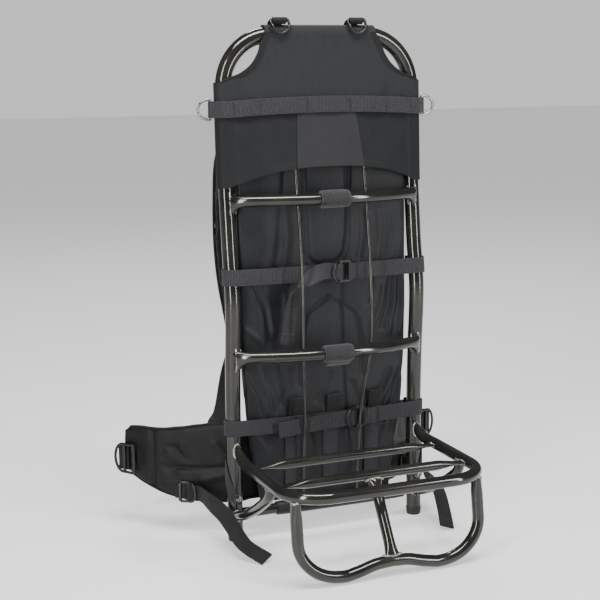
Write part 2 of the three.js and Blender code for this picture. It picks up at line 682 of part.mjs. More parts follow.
function panelNeck() {
  const rises = 8;
  const turns = SLEEVE_TURNS;
  const half = HOOP_HALF_WIDTH + HOOP_TUBE / 3;
  const rows = [{ foot: true }];
  for (let i = 0; i <= rises; i += 1) rows.push({ up: i / rises });
  for (let i = 1; i <= turns; i += 1) rows.push({ angle: (i / turns) * Math.PI });
  rows.push({ flap: true });
  const surface = (s, t) => {
    const place = t * (rows.length - 1);
    const j = Math.min(Math.floor(place), rows.length - 2);
    const side = mix(-1, 1, s);
    const at = (row) => {
      if (row.foot) {
        const z = PANEL_SHOULDER - NECK_OVERLAP;
        return vec(side * half, panelDepth(side * half, z), z);
      }
      if (row.up !== undefined) {
        const z = mix(PANEL_SHOULDER, HOOP_HEIGHT, row.up);
        const x = side * mix(half, PANEL_NECK_HALF_WIDTH, along(PANEL_NECK, 'up', 'cut', row.up));
        return vec(x, panelDepth(x, z), z);
      }
      const x = side * PANEL_NECK_HALF_WIDTH;
      if (row.flap) return vec(x, lean(HOOP_HEIGHT) + sleeveRadius, HOOP_HEIGHT - PANEL_FLAP);
      const centre = lean(HOOP_HEIGHT);
      const z = HOOP_HEIGHT + sleeveRadius * Math.sin(row.angle);
      return vec(x, centre - sleeveRadius * Math.cos(row.angle), z);
    };
    return at(rows[j]).lerp(at(rows[j + 1]), place - j);
  };
  return sheet(surface, 10, rows.length - 1, PANEL_WALL);
}
add('top_panel', join(panelFront(), panelNeck()), 'panel');

const patchDepth = (x, z) => panelDepth(x, z) - PANEL_WALL / 2 - GAP - PATCH_WALL / 2;
const patchSurface = (s, t) => {
  const width = mix(PATCH_FOOT_WIDTH, PATCH_TOP_WIDTH, t);
  const x = mix(-width / 2, width / 2, s);
  const z = mix(hemHeight(x) + 6, DAISY_HEIGHT, t);
  return vec(x, patchDepth(x, z), z);
};
add('centre_patch', sheet(patchSurface, 6, 4, PATCH_WALL), 'patch');

// Daisy webbing across the panel, each end folded round the straight side of a ring
const daisyProud = PANEL_WALL / 2 + GAP * 2 + PATCH_WALL + WEBBING_WALL / 2;
const ringBar = {
  x: HOOP_HALF_WIDTH + sleeveRadius + PANEL_WALL / 2 + RING_WIRE / 2 + WEBBING_WALL * 2 + GAP * 3,
  y: lean(DAISY_HEIGHT),
};
function daisyLine() {
  const across = 10;
  const fold = (RING_WIRE / 2 + GAP) / Math.cos(Math.PI / 11) + WEBBING_WALL / 2;
  const front = Array.from({ length: across + 1 }, (_, i) => {
    const s = mix(-1, 1, i / across);
    const x = s * (HOOP_HALF_WIDTH - 2);
    const z = DAISY_HEIGHT + DAISY_RISE * (1 - s * s);
    return vec(x, panelDepth(x, z - WEBBING / 2) - daisyProud, z);
  });
  const wrap = sleeveRadius + daisyProud;
  const shoulder = levelArc(HOOP_HALF_WIDTH, ringBar.y, DAISY_HEIGHT, wrap, -60, -35, 2);
  const turn = levelArc(ringBar.x, ringBar.y, DAISY_HEIGHT, fold, -50, 165, 7);
  const right = [...shoulder, ...turn];
  const left = right.map((p) => vec(-p.x, p.y, p.z)).reverse();
  return [...left, ...front, ...right];
}
add('daisy_webbing', sweep(daisyLine(), Z, () => strip(WEBBING, WEBBING_WALL)), 'webbing');

// Bent wire ring with one straight side, in a plane: u along the straight side, v away from it
function ringLine(height, reach, wire) {
  const half = (height - wire) / 2;
  const depth = reach - wire;
  const line = [[-half * 0.94, 0], [half * 0.94, 0]];
  const steps = 9;
  for (let i = 0; i <= steps; i += 1) {
    const angle = mix(0, Math.PI, i / steps);
    line.push([half * Math.cos(angle), depth * 0.12 + depth * 0.88 * Math.sin(angle)]);
  }
  return line;
}
for (const { name, sign } of SIDES) {
  const line = ringLine(RING_HEIGHT, RING_REACH, RING_WIRE).map(
    ([u, v]) => vec(sign * (ringBar.x + v), ringBar.y, DAISY_HEIGHT + u),
  );
  add(`side_ring_${name}`, sweep(line, Y, () => round(RING_WIRE / 2, RING_WIRE / 2, 6), true), 'steel');
}

// Lash rings on top: a webbing loop over the top bar, and a ring that hangs in front of the panel
const lashBar = {
  y: lean(HOOP_HEIGHT) - HOOP_TUBE * 0.45,
  z: HOOP_HEIGHT + sleeveRadius + LASH_LOOP_RISE - WEBBING_WALL * 2 - LASH_RING_WIRE / 2,
};
for (const { name, sign } of SIDES) {
  const x = LASH_OFFSET + (sign * LASH_SPACING) / 2;
  const fold = (LASH_RING_WIRE / 2 + GAP) / Math.cos(Math.PI / 8) + WEBBING_WALL / 2;
  const seat = (sleeveRadius + PANEL_WALL + GAP) / Math.cos(Math.PI / 12) + WEBBING_WALL / 2;
  const centre = { y: lean(HOOP_HEIGHT), z: HOOP_HEIGHT };
  const onBar = (degrees, radius) => {
    const angle = THREE.MathUtils.degToRad(degrees);
    return vec(x, centre.y - radius * Math.sin(angle), centre.z + radius * Math.cos(angle));
  };
  const round2 = Array.from({ length: 6 }, (_, i) => {
    const angle = THREE.MathUtils.degToRad(mix(-20, 200, i / 5));
    return vec(x, lashBar.y - fold * Math.sin(angle), lashBar.z + fold * Math.cos(angle));
  });
  const line = [onBar(-110, seat), onBar(-80, seat), onBar(-50, seat), onBar(-20, seat + 3), ...round2, onBar(22, seat)];
  add(`lash_loop_${name}`, sweep(line, X, () => strip(LASH_WEBBING, WEBBING_WALL)), 'webbing');
  const front = panelDepth(x, HOOP_HEIGHT) - PANEL_WALL / 2 - GAP - LASH_RING_WIRE / 2;
  const hang = ringLine(LASH_RING_WIDTH, LASH_RING_DROP, LASH_RING_WIRE).map(([u, v]) => {
    const out = THREE.MathUtils.smoothstep(v, 0, LASH_RING_DROP * 0.5);
    return vec(x + u, mix(lashBar.y, Math.min(front, lashBar.y) - 1, out), lashBar.z - v);
  });
  const wire = () => round(LASH_RING_WIRE / 2, LASH_RING_WIRE / 2, 6);
  add(`lash_ring_${name}`, sweep(hang, Y, wire, true), 'plastic');
}

// Closed sleeve round a bar's centre line
function sleeveRound(line, inner, outer, sides = 12) {
  const wall = (radius) => ringsAlong(line, Z, () => round(radius, radius, sides));
  return loft([...wall(outer), ...wall(inner).reverse()], true);
}
const middle = (line) => {
  const curve = new THREE.CatmullRomCurve3(line);
  const total = curve.getLength();
  const share = (offset) => 0.5 + (WRAP_OFFSET + offset * WRAP_LENGTH) / total;
  return [-0.5, -0.25, 0, 0.25, 0.5].map((offset) => curve.getPointAt(share(offset)));
};
const wrapInner = (CROSSBAR_TUBE / 2 + GAP) / Math.cos(Math.PI / 12);
add('upper_bar_wrap', sleeveRound(middle(upperLine), wrapInner, wrapInner + WRAP_WALL), 'webbing');
add('lower_bar_wrap', sleeveRound(middle(lowerLine), wrapInner, wrapInner + WRAP_WALL), 'webbing');

const sleeveInner = (BOTTOM_BAR_TUBE / 2 + GAP) / Math.cos(Math.PI / 12);
const sleeveOuter = sleeveInner + PAD_SLEEVE_WALL;
add('bottom_bar_sleeve', sleeveRound(
  [vec(PAD_SLEEVE_LEFT, 0, BOTTOM_BAR_HEIGHT), vec(PAD_SLEEVE_RIGHT, 0, BOTTOM_BAR_HEIGHT)], sleeveInner, sleeveOuter,
), 'pad');

// Back pad between the uprights, hung on the bottom bar
const padCentre = PAD_THICKNESS / 2 - PAD_SET_BACK;
const padFace = (z) => {
  const up = (z - PAD_FOOT) / (PAD_TOP - PAD_FOOT);
  return padCentre - (PAD_THICKNESS / 2) * along(PAD_LINE, 'up', 'thick', up);
};
function padBody() {
  const around = 18;
  const heights = [0, 0.02, 0.05, 0.1, 0.16, 0.22, 0.28, 0.34, 0.42, 0.5, 0.6, 0.7, 0.8, 0.9, 0.96, 0.985, 1];
  const rings = heights.map((up) => {
    const half = PAD_HALF_WIDTH * along(PAD_LINE, 'up', 'wide', up);
    const thick = (PAD_THICKNESS / 2) * along(PAD_LINE, 'up', 'thick', up);
    const z = mix(PAD_FOOT, PAD_TOP, up);
    return Array.from({ length: around }, (_, k) => {
      const angle = (2 * Math.PI * (k + 0.5)) / around;
      const square = (value, power) => Math.sign(value) * Math.abs(value) ** power;
      const x = half * square(Math.cos(angle), 0.6);
      return vec(x, padCentre + thick * square(Math.sin(angle), 0.35), z);
    });
  });
  return loft(rings);
}
const sleeveKeepOut = bottomBar(sleeveOuter + GAP * 2, -HOOP_HALF_WIDTH, HOOP_HALF_WIDTH);
add('back_pad', cut(padBody(), hoopKeepOut, sleeveKeepOut), 'pad');

// Height tabs and ladder webbing sewn on the load side of the pad
const TAB_PLACES = [
  { name: 'left', x: -56 },
  { name: 'middle', x: 9 },
  { name: 'right', x: 82 },
];
for (const { name, x } of TAB_PLACES) {
  const proud = GAP * 2 + WEBBING_WALL / 2;
  const tab = smooth([
    vec(x, padFace(TAB_HEIGHT - TAB_LENGTH) - proud, TAB_HEIGHT - TAB_LENGTH),
    vec(x, padFace(TAB_HEIGHT) - proud - 0.5, TAB_HEIGHT - TAB_LENGTH / 2),
    vec(x, padFace(TAB_HEIGHT) - proud - 3, TAB_HEIGHT),
  ], 4);
  add(`pad_tab_${name}`, sweep(tab, X, () => strip(TAB_WIDTH, WEBBING_WALL)), 'webbing');
  const ladder = [0, 0.25, 0.5, 0.75, 1].map((t) => {
    const z = mix(LADDER_FOOT, LADDER_TOP, t);
    return vec(x - 6, padFace(z) - proud, z);
  });
  add(`pad_ladder_${name}`, sweep(ladder, X, () => strip(WEBBING, WEBBING_WALL)), 'webbing');
}

// Ladder buckle, flat: a straight bar at +x, a middle bar, and a round bow at -x
function ladderBuckle(length, webbing) {
  const half = webbing / 2 + 1 + BUCKLE_RIM;
  const bow = length * 0.42;
  const outline = new THREE.Shape();
  outline.moveTo(length / 2, -half);
  outline.lineTo(length / 2, half);
  outline.absellipse(-length / 2 + bow, 0, bow, half, Math.PI / 2, Math.PI * 1.5, false);
  outline.closePath();
  const inner = webbing / 2 + 1;
  const rearSlot = new THREE.Path();
  const rearInner = inner - BUCKLE_RIM / 4;
  rearSlot.moveTo(length / 2 - BUCKLE_RIM, -rearInner);
  rearSlot.lineTo(length / 2 - BUCKLE_RIM, rearInner);
  rearSlot.lineTo(BUCKLE_RIM / 2, rearInner);
  rearSlot.lineTo(BUCKLE_RIM / 2, -rearInner);
  rearSlot.closePath();
  const bowSlot = new THREE.Path();
  bowSlot.moveTo(-BUCKLE_RIM / 2, -inner);
  bowSlot.lineTo(-BUCKLE_RIM / 2, inner);
  bowSlot.absellipse(-length / 2 + bow, 0, bow - BUCKLE_RIM, inner, Math.PI / 2, Math.PI * 1.5, false);
  bowSlot.closePath();
  outline.holes.push(rearSlot, bowSlot);
  const frame = new THREE.ExtrudeGeometry(outline, { depth: BUCKLE_WALL, bevelEnabled: false, curveSegments: 6 });
  return frame.translate(0, 0, -BUCKLE_WALL / 2);
}

// Folded end of a webbing round a bar: from the run at one depth to the run at another
const wall = WEBBING_WALL;
const barFold = BUCKLE_WALL / 2 + GAP * 2 + wall / 2;

function crossStrap(label, height, sag, buckleX, tail) {
  const wrap = (HOOP_TUBE / 2 + GAP * 2) / Math.cos(Math.PI / 12) + wall / 2;
  const y = lean(height) - wrap;
  const depth = y - barFold;
  const upright = vec(0, lean(height + 1) - lean(height - 1), 2).normalize();
  const middleZ = height - sag;
  const around = (z) => levelArc(HOOP_HALF_WIDTH, lean(height), z, wrap, 90, -90, 6);
  const end = vec(HOOP_HALF_WIDTH - STRAP_END, lean(height) + wrap, height);
  const rightBar = buckleX + BUCKLE_LENGTH / 2 - BUCKLE_RIM / 2;
  const right = [
    end, ...around(height),
    vec(mix(HOOP_HALF_WIDTH, rightBar, 0.3), y, mix(height, middleZ, 0.5)),
    vec(rightBar + 3, y, middleZ),
    ...levelArc(rightBar, depth, middleZ, barFold, 90, 270, 5),
    vec(rightBar + BUCKLE_LENGTH * 0.55, depth - barFold, middleZ),
  ];
  const left = [
    vec(-end.x, end.y, end.z),
    ...around(height).map((p) => vec(-p.x, p.y, p.z)),
    vec(mix(-HOOP_HALF_WIDTH, buckleX, 0.3), y, mix(height, middleZ, 0.5)),
    vec(buckleX - 3, y, middleZ),
    ...levelArc(buckleX, depth, middleZ, barFold, 90, -90, 5),
  ];
  const straight = left.length;
  const tailLine = tail.points.map(([x, dy, z]) => vec(buckleX + x, depth - barFold - dy, middleZ + z));
  const line = [...left, ...tailLine];
  const turned = (share) => {
    const i = share * (line.length - 1) - straight;
    if (i < -7.5) return upright;
    return tail.across[Math.max(0, Math.round(i) + 1)] ?? tail.across.at(-1);
  };
  add(`${label}_strap_left`, sweep(line, turned, () => strip(WEBBING, wall)), 'webbing');
  const onRight = (share) => (share * (right.length - 1) < 8.5 ? upright : Z);
  add(`${label}_strap_right`, sweep(right, onRight, () => strip(WEBBING, wall)), 'webbing');
  const buckle = add(`${label}_strap_buckle`, ladderBuckle(BUCKLE_LENGTH, WEBBING), 'plastic');
  buckle.rotation.x = Math.PI / 2;
  buckle.position.set(buckleX, depth, middleZ);
}

// Free end of the upper strap: it twists as it drops
const drop = UPPER_TAIL_DROP;
crossStrap('upper', UPPER_STRAP_HEIGHT, 1, UPPER_BUCKLE_X, {
  points: [
    [-12, 0.4, 0.01 * drop],
    [-22, 1.5, 0.03 * drop],
    [-34, 4, 0.03 * drop],
    [-48, 6, -0.01 * drop],
    [-62, 6.5, -0.08 * drop],
    [-74, 6.5, -0.17 * drop],
    [-82, 6.5, -0.28 * drop],
    [-86, 6.5, -0.41 * drop],
    [-89, 6.5, -0.56 * drop],
    [-92, 5.5, -0.76 * drop],
    [-96, 4.5, -drop],
  ],
  across: [
    Z, Z, Z, vec(0, 0.25, 0.97), vec(0.15, 0.5, 0.85), vec(0.38, 0.5, 0.72), vec(0.65, 0.5, 0.5),
    vec(0.8, 0.48, 0.25), vec(0.9, 0.38, 0.12), vec(0.95, 0.3, 0), vec(0.95, 0.28, 0), vec(0.95, 0.25, 0),
  ],
});
const tailRun = LOWER_TAIL_LENGTH;
crossStrap('lower', LOWER_STRAP_HEIGHT, 2, LOWER_BUCKLE_X, {
  points: [[-0.12 * tailRun, 0.3, 0], [-0.4 * tailRun, 0.8, -1], [-0.75 * tailRun, 1.6, -3.5], [-1.1 * tailRun, 4, -6]],
  across: [Z],
});

// Hip belt: one padded band from wing tip to wing tip, behind the pad
const beltAt = (s) => {
  const place = Math.abs(s);
  const column = (key) => along(BELT_LINE, 'out', key, place);
  return {
    point: vec(
      s * (s > 0 ? BELT_RIGHT_HALF_WIDTH : BELT_HALF_WIDTH),
      mix(BELT_DEPTH, s > 0 ? BELT_RIGHT_DEPTH : BELT_DEPTH, place) * column('back'),
      0,
    ),
    foot: BELT_FOOT + BELT_HEIGHT * column('foot'),
    top: BELT_FOOT + BELT_HEIGHT * column('top'),
    thick: BELT_THICKNESS * column('thick'),
  };
};
const beltStations = [
  -1, -0.985, -0.96, -0.92, -0.88, -0.84, -0.79, -0.74, -0.69, -0.64, -0.59, -0.54, -0.49, -0.44, -0.37, -0.3, -0.15,
];
const beltPlaces = [...beltStations, 0, ...beltStations.map((s) => -s).reverse()];
const beltLine = beltPlaces.map((s) => {
  const { point, foot, top } = beltAt(s);
  return point.setZ((foot + top) / 2);
});
const belt = sweep(beltLine, Z, (share) => {
  const { foot, top, thick } = beltAt(beltPlaces[Math.round(share * (beltPlaces.length - 1))]);
  const half = (top - foot) / 2;
  return [
    [-half, -thick * 0.2], [-half * 0.9, -thick * 0.5], [half * 0.9, -thick * 0.5], [half, -thick * 0.2],
    [half, thick * 0.2], [half * 0.9, thick * 0.5], [-half * 0.9, thick * 0.5], [-half, thick * 0.2],
  ];
});
add('hip_belt', belt, 'belt');

// Belt closure: a lock on each wing tip, webbing round the wearer and one plain buckle
const LOCK_PLACE = { left: { turn: 0, out: 0, drop: 0 }, right: { turn: -38, out: 32, drop: BELT_LOCK_DROP } };
for (const { name, sign } of SIDES) {
  const { turn, out, drop } = LOCK_PLACE[name];
  const tip = beltAt(sign).point;
  const inner = beltAt(sign * 0.92).point;
  const wing = tip.clone().sub(inner).setZ(0).normalize();
  const face = vec(wing.y * sign, -wing.x * sign, 0);
  const heading = wing.clone().applyAxisAngle(Z, THREE.MathUtils.degToRad(turn));
  const outward = vec(heading.y * sign, -heading.x * sign, 0);
  const proud = BELT_THICKNESS / 2 + barFold + wall / 2 + GAP;
  const centre = tip.clone()
    .addScaledVector(heading, BELT_LOCK_OVERHANG - BELT_LOCK_LENGTH / 2 + out)
    .addScaledVector(outward, proud).setZ(BELT_LOCK_HEIGHT - drop);
  const lock = add(`hip_lock_${name}`, ladderBuckle(BELT_LOCK_LENGTH, BELT_WEBBING), 'plastic');
  lock.rotation.set(Math.PI / 2, 0, Math.atan2(heading.y, heading.x) + Math.PI, 'ZYX');
  lock.position.copy(centre);
  const local = (along, behind) => centre.clone().addScaledVector(heading, along).addScaledVector(outward, -behind);
  const side = (x, y, z) => vec(sign * x, y, z);
  const line = smooth([
    tip.clone().addScaledVector(wing, -14).addScaledVector(face, (BELT_THICKNESS + wall) / 2).setZ(centre.z),
    tip.clone().addScaledVector(wing, -2).addScaledVector(face, (BELT_THICKNESS + wall) / 2).setZ(centre.z),
    local(BELT_LOCK_LENGTH * 0.3, barFold - GAP),
    local(BELT_LOCK_LENGTH * 0.38, barFold + 6),
    local(BELT_LOCK_LENGTH * 0.25, barFold + 16),
    side(Math.abs(centre.x) * 0.78, mix(centre.y, BELT_CLOSURE_DEPTH, 0.75), centre.z - 2),
    side(Math.abs(centre.x) * 0.5, BELT_CLOSURE_DEPTH, centre.z - 4),
    side(BELT_BUCKLE_LENGTH * 0.7, BELT_CLOSURE_DEPTH + 6, BELT_LOCK_HEIGHT - BELT_LOCK_DROP / 2),
    side(BELT_BUCKLE_LENGTH / 2 + GAP * 2, BELT_CLOSURE_DEPTH + 6, BELT_LOCK_HEIGHT - BELT_LOCK_DROP / 2),
  ], 24);
  add(`hip_webbing_${name}`, sweep(line, Z, () => strip(BELT_WEBBING, wall)), 'webbing');
}
const claspOutline = new THREE.Shape();
const claspHalf = { x: BELT_BUCKLE_LENGTH / 2, z: BELT_BUCKLE_HEIGHT / 2 };
claspOutline.moveTo(-claspHalf.x, -claspHalf.z * 0.85);
claspOutline.quadraticCurveTo(0, -claspHalf.z * 1.15, claspHalf.x, -claspHalf.z * 0.85);
claspOutline.lineTo(claspHalf.x, claspHalf.z * 0.85);
claspOutline.quadraticCurveTo(0, claspHalf.z * 1.15, -claspHalf.x, claspHalf.z * 0.85);
claspOutline.closePath();
const clasp = add('hip_buckle', new THREE.ExtrudeGeometry(claspOutline, {
  depth: BELT_BUCKLE_THICKNESS, bevelEnabled: false, curveSegments: 6,
}), 'plastic');
clasp.rotation.x = Math.PI / 2;
clasp.position.set(0, BELT_CLOSURE_DEPTH + 6 + BELT_BUCKLE_THICKNESS / 2, BELT_LOCK_HEIGHT - BELT_LOCK_DROP / 2);

// Shoulder straps: padded bands from the pad over the shoulder, and webbing on to the belt
const padBack = padCentre + PAD_THICKNESS / 2;
for (const { name, sign } of SIDES) {
  const points = SHOULDER_LINE.map(({ out, back, up }) => vec(
    sign * out * BELT_HALF_WIDTH, SHOULDER_DEPTH * back, mix(SHOULDER_FOOT, SHOULDER_TOP, up),
  ));
  points[0].y = padBack + GAP * 2 + SHOULDER_THICKNESS / 4;
  const line = smooth(points, 18);
  const band = sweep(line, X, (share) => {
    const wide = SHOULDER_WIDTH * along(
      SHOULDER_LINE.map((row, i) => ({ at: i / (SHOULDER_LINE.length - 1), wide: row.wide })), 'at', 'wide', share,
    );
    const taper = 1 - 0.5 * Math.abs(2 * share - 1) ** 8;
    return round(wide / 2, (SHOULDER_THICKNESS / 2) * taper, 8);
  });
  add(`shoulder_strap_${name}`, band, 'belt');
  const from = line.at(-1);
  const heading = from.clone().sub(line.at(-2)).normalize();
  const sewnOn = beltAt(sign * 0.6);
  const next = beltAt(sign * 0.64).point.clone().sub(sewnOn.point).setZ(0).normalize();
  const inward = vec(-next.y * sign, next.x * sign, 0).multiplyScalar(BELT_THICKNESS / 2 + wall + GAP * 3);
  const sewn = sewnOn.point.clone().add(inward).setZ(sewnOn.top - 45);
  const webLine = smooth([
    from.clone().addScaledVector(heading, GAP * 2),
    from.clone().addScaledVector(heading, 14),
    from.clone().lerp(sewn, 0.35).add(vec(0, 4, 0)),
    from.clone().lerp(sewn, 0.7).add(vec(0, 4, 0)),
    sewn.clone().setZ(sewnOn.top - 5),
    sewn,
  ], 12);
  const turned = (share) => X.clone().lerp(next.clone().multiplyScalar(sign), THREE.MathUtils.smoothstep(share, 0.3, 0.75));
  add(`shoulder_webbing_${name}`, sweep(webLine, turned, () => strip(WEBBING, wall)), 'webbing');
}

// Anchor webbing from the belt round the upright to the bolt, and the stabiliser strap with its tail
const anchorWrap = (HOOP_TUBE / 2 + GAP * 2) / Math.cos(Math.PI / 16) + wall / 2;
for (const { name, sign } of SIDES) {
  const side = (x, y, z) => vec(sign * x, y, z);
  const anchor = (s, t) => {
    const across = (s - 0.5) * ANCHOR_WIDTH;
    const angle = THREE.MathUtils.degToRad(mix(48, -82, t)) + (across * 0.92) / anchorWrap;
    const z = BOLT_HEIGHT - 8 + ANCHOR_RISE * (1 - t) + across * 0.39;
    return side(HOOP_HALF_WIDTH + anchorWrap * Math.cos(angle), anchorWrap * Math.sin(angle), z);
  };
  add(`anchor_webbing_${name}`, sheet(anchor, 4, 8, wall), 'webbing');
  const place = STABILISER_PLACE[name];
  const belt = beltAt(place);
  const heading = beltAt(place + sign * 0.03).point.clone().sub(belt.point).setZ(0).normalize();
  const outward = vec(heading.y * sign, -heading.x * sign, 0);
  const onBelt = (along, proud) => belt.point.clone()
    .addScaledVector(heading, along).addScaledVector(outward, BELT_THICKNESS / 2 + proud).setZ(STABILISER_LOCK_HEIGHT);
  const lock = add(`stabiliser_lock_${name}`, ladderBuckle(BUCKLE_LENGTH * 0.8, WEBBING), 'plastic');
  lock.rotation.set(Math.PI / 2, 0, Math.atan2(heading.y, heading.x) + (name === 'left' ? 0 : Math.PI), 'ZYX');
  lock.position.copy(onBelt(0, BUCKLE_WALL / 2 + GAP * 2));
  const fold = BUCKLE_WALL / 2 + GAP * 2 + barFold;
  const away = name === 'left' ? -1 : 1;
  const long = TAIL_REACH * (name === 'right' ? RIGHT_TAIL_SHARE : 1);
  const tail = smooth([
    onBelt(-2 * away, fold),
    onBelt(8 * away, fold + GAP),
    onBelt(18 * away, fold + 5),
    ...TAIL_LINE.map((row) => side(
      HOOP_HALF_WIDTH * row[name], -long * row.reach, STABILISER_LOCK_HEIGHT * row[`${name}Up`] + GAP,
    )),
  ], 16);
  const turned = (share) => {
    const turn = THREE.MathUtils.smoothstep(share, 0.1, 0.6);
    return side(-0.9 * turn, 0, mix(1, 0.2, turn));
  };
  add(`stabiliser_strap_${name}`, sweep(tail, turned, () => strip(WEBBING, wall)), 'webbing');
}

// The origin is under the middle of the whole pack
const middlePoint = new THREE.Box3().setFromObject(pack).getCenter(vec(0, 0, 0));
pack.position.set(-middlePoint.x, -middlePoint.y, 0);

export default pack;
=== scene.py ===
"""External frame backpack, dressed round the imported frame.

The tables hold millimetres in the maker's own frame: x to the right, y from the load to the wearer,
z up, with the uprights' feet at y = 0. world() turns them into metres in the frame's coordinates.
"""
import math

import bpy
import numpy as np
from mathutils import Matrix, Vector
from mathutils.bvhtree import BVHTree

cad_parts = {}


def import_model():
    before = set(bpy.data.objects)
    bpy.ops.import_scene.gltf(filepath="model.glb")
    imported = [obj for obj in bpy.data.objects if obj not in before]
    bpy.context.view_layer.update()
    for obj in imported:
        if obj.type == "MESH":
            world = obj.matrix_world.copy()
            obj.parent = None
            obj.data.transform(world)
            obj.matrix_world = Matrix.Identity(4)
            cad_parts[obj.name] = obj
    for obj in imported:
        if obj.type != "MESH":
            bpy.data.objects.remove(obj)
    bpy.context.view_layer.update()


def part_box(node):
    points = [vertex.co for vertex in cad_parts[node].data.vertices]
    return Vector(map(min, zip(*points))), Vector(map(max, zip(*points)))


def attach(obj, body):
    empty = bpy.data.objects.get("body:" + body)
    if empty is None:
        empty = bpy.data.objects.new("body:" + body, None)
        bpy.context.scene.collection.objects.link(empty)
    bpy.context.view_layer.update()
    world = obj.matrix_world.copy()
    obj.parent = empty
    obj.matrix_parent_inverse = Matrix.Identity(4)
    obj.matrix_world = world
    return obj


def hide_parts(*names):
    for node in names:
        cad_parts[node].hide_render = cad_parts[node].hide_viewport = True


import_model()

SCENE = bpy.context.scene
MM = 0.001
HOOP_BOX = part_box("main_frame_hoop")
FOOT_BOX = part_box("foot_cap_left")
PLACE = np.array([
    (HOOP_BOX[0][0] + HOOP_BOX[1][0]) / 2, (FOOT_BOX[0][1] + FOOT_BOX[1][1]) / 2, 0.0,
])
X, Y, Z = np.eye(3)
SIDES = (("left", -1), ("right", 1))

# Lengths shared with the part's source
HOOP_HEIGHT, HOOP_HALF, HOOP_R, HOOP_CORNER, HOOP_SWAY = 785.0, 157.5, 12.0, 80.0, 10.0
GAP = 0.3
WEB, WEB_WALL = 25.0, 1.6
PANEL_HEM, PANEL_SHOULDER, PANEL_WALL = 556.0, 714.0, 1.6
SLEEVE_R = (HOOP_R + GAP) / math.cos(math.pi / 10) + PANEL_WALL / 2
SHELF_REACH, SHELF_HALF, SHELF_R, SHELF_CORNER = 248.0, 159.0, 9.0, 62.0
STAND_REACH = 239.0
PAD_FOOT, PAD_TOP, PAD_MID = 51.0, 640.0, 6.0

LEAN = np.array([
    (0, 0), (.24, 0), (.33, -.24), (.385, -.5), (.44, -.87), (.49, -1), (.536, -.62), (.58, -.08),
    (.624, .27), (.665, .6), (.71, .92), (.77, 1.07), (.83, 1.2), (.91, 1.4), (1, 1.5),
])
ROD_LINE = np.array([
    (0, .3, .81), (.12, .42, .82), (.24, .61, .83), (.31, .71, .86), (.48, 1.1, 1), (.7, 1.14, 1),
    (.84, 1.02, 1), (.93, .91, 1), (1, .73, 1),
])
PANEL_NECK = np.array([(0, 0), (.07, .12), (.17, .4), (.35, .65), (.58, .81), (.82, .9), (1, 1)])
STAND_FOOT = np.array([(0, 1), (.26, .86), (.52, .4), (.8, .04), (1, 0)])
PAD_LINE = np.array([
    (0, .8, .35), (.02, .81, .62), (.07, .83, .85), (.16, .9, 1), (.25, .94, 1), (.31, .96, 1),
    (.38, .985, 1), (.5, 1, 1), (.65, 1, 1), (.8, 1, 1), (.93, .99, .95), (.985, .96, .7),
    (1, .93, .3),
])
BELT_LINE = np.array([
    (0, .147, .1, .86, .5), (.3, .149, .06, .9, .55), (.44, .168, .02, .98, .7),
    (.54, .238, 0, .98, .85), (.64, .35, 0, .945, 1), (.74, .47, .02, .91, 1),
    (.84, .62, .09, .88, 1), (.92, .79, .19, .87, 1), (.97, .93, .28, .86, .95),
    (1, 1, .36, .8, .55),
])
SHOULDER_LINE = np.array([
    (.2, .3, .86, .8), (.24, .55, 1, .9), (.3, .85, .99, 1), (.36, 1, .85, 1), (.39, .95, .62, 1),
    (.41, .8, .34, .98), (.415, .68, .12, .85), (.42, .63, 0, .55),
])


# ---------------------------------------------------------------- curves and surfaces

def world(points):
    """Millimetres in the maker's frame to metres in the row's frame."""
    return np.asarray(points, float) * MM + PLACE


def unit(vectors):
    """Vectors scaled to length one."""
    vectors = np.asarray(vectors, float)
    return vectors / np.maximum(np.linalg.norm(vectors, axis=-1, keepdims=True), 1e-9)


def mix(a, b, t):
    return a + (b - a) * t


def step(low, high, value):
    """Smooth step: 3t^2 - 2t^3 with t from low to high."""
    t = np.clip((np.asarray(value, float) - low) / (high - low), 0, 1)
    return t * t * (3 - 2 * t)


def along(table, column, at):
    """A table's column at a place in its first column: a cubic between two rows, whose slope at a
    row is that between its two neighbours."""
    x, y = table[:, 0], table[:, column]
    at = np.clip(np.asarray(at, float), x[0], x[-1])
    i = np.clip(np.searchsorted(x, at, side="right") - 1, 0, len(x) - 2)
    low, high = np.maximum(np.arange(len(x)) - 1, 0), np.minimum(np.arange(len(x)) + 1, len(x) - 1)
    slope = (y[high] - y[low]) / (x[high] - x[low])
    span = x[i + 1] - x[i]
    t = (at - x[i]) / span
    bend = slope[i] * span * t * (1 - t) ** 2 - slope[i + 1] * span * t * t * (1 - t)
    return y[i] + (y[i + 1] - y[i]) * t * t * (3 - 2 * t) + bend


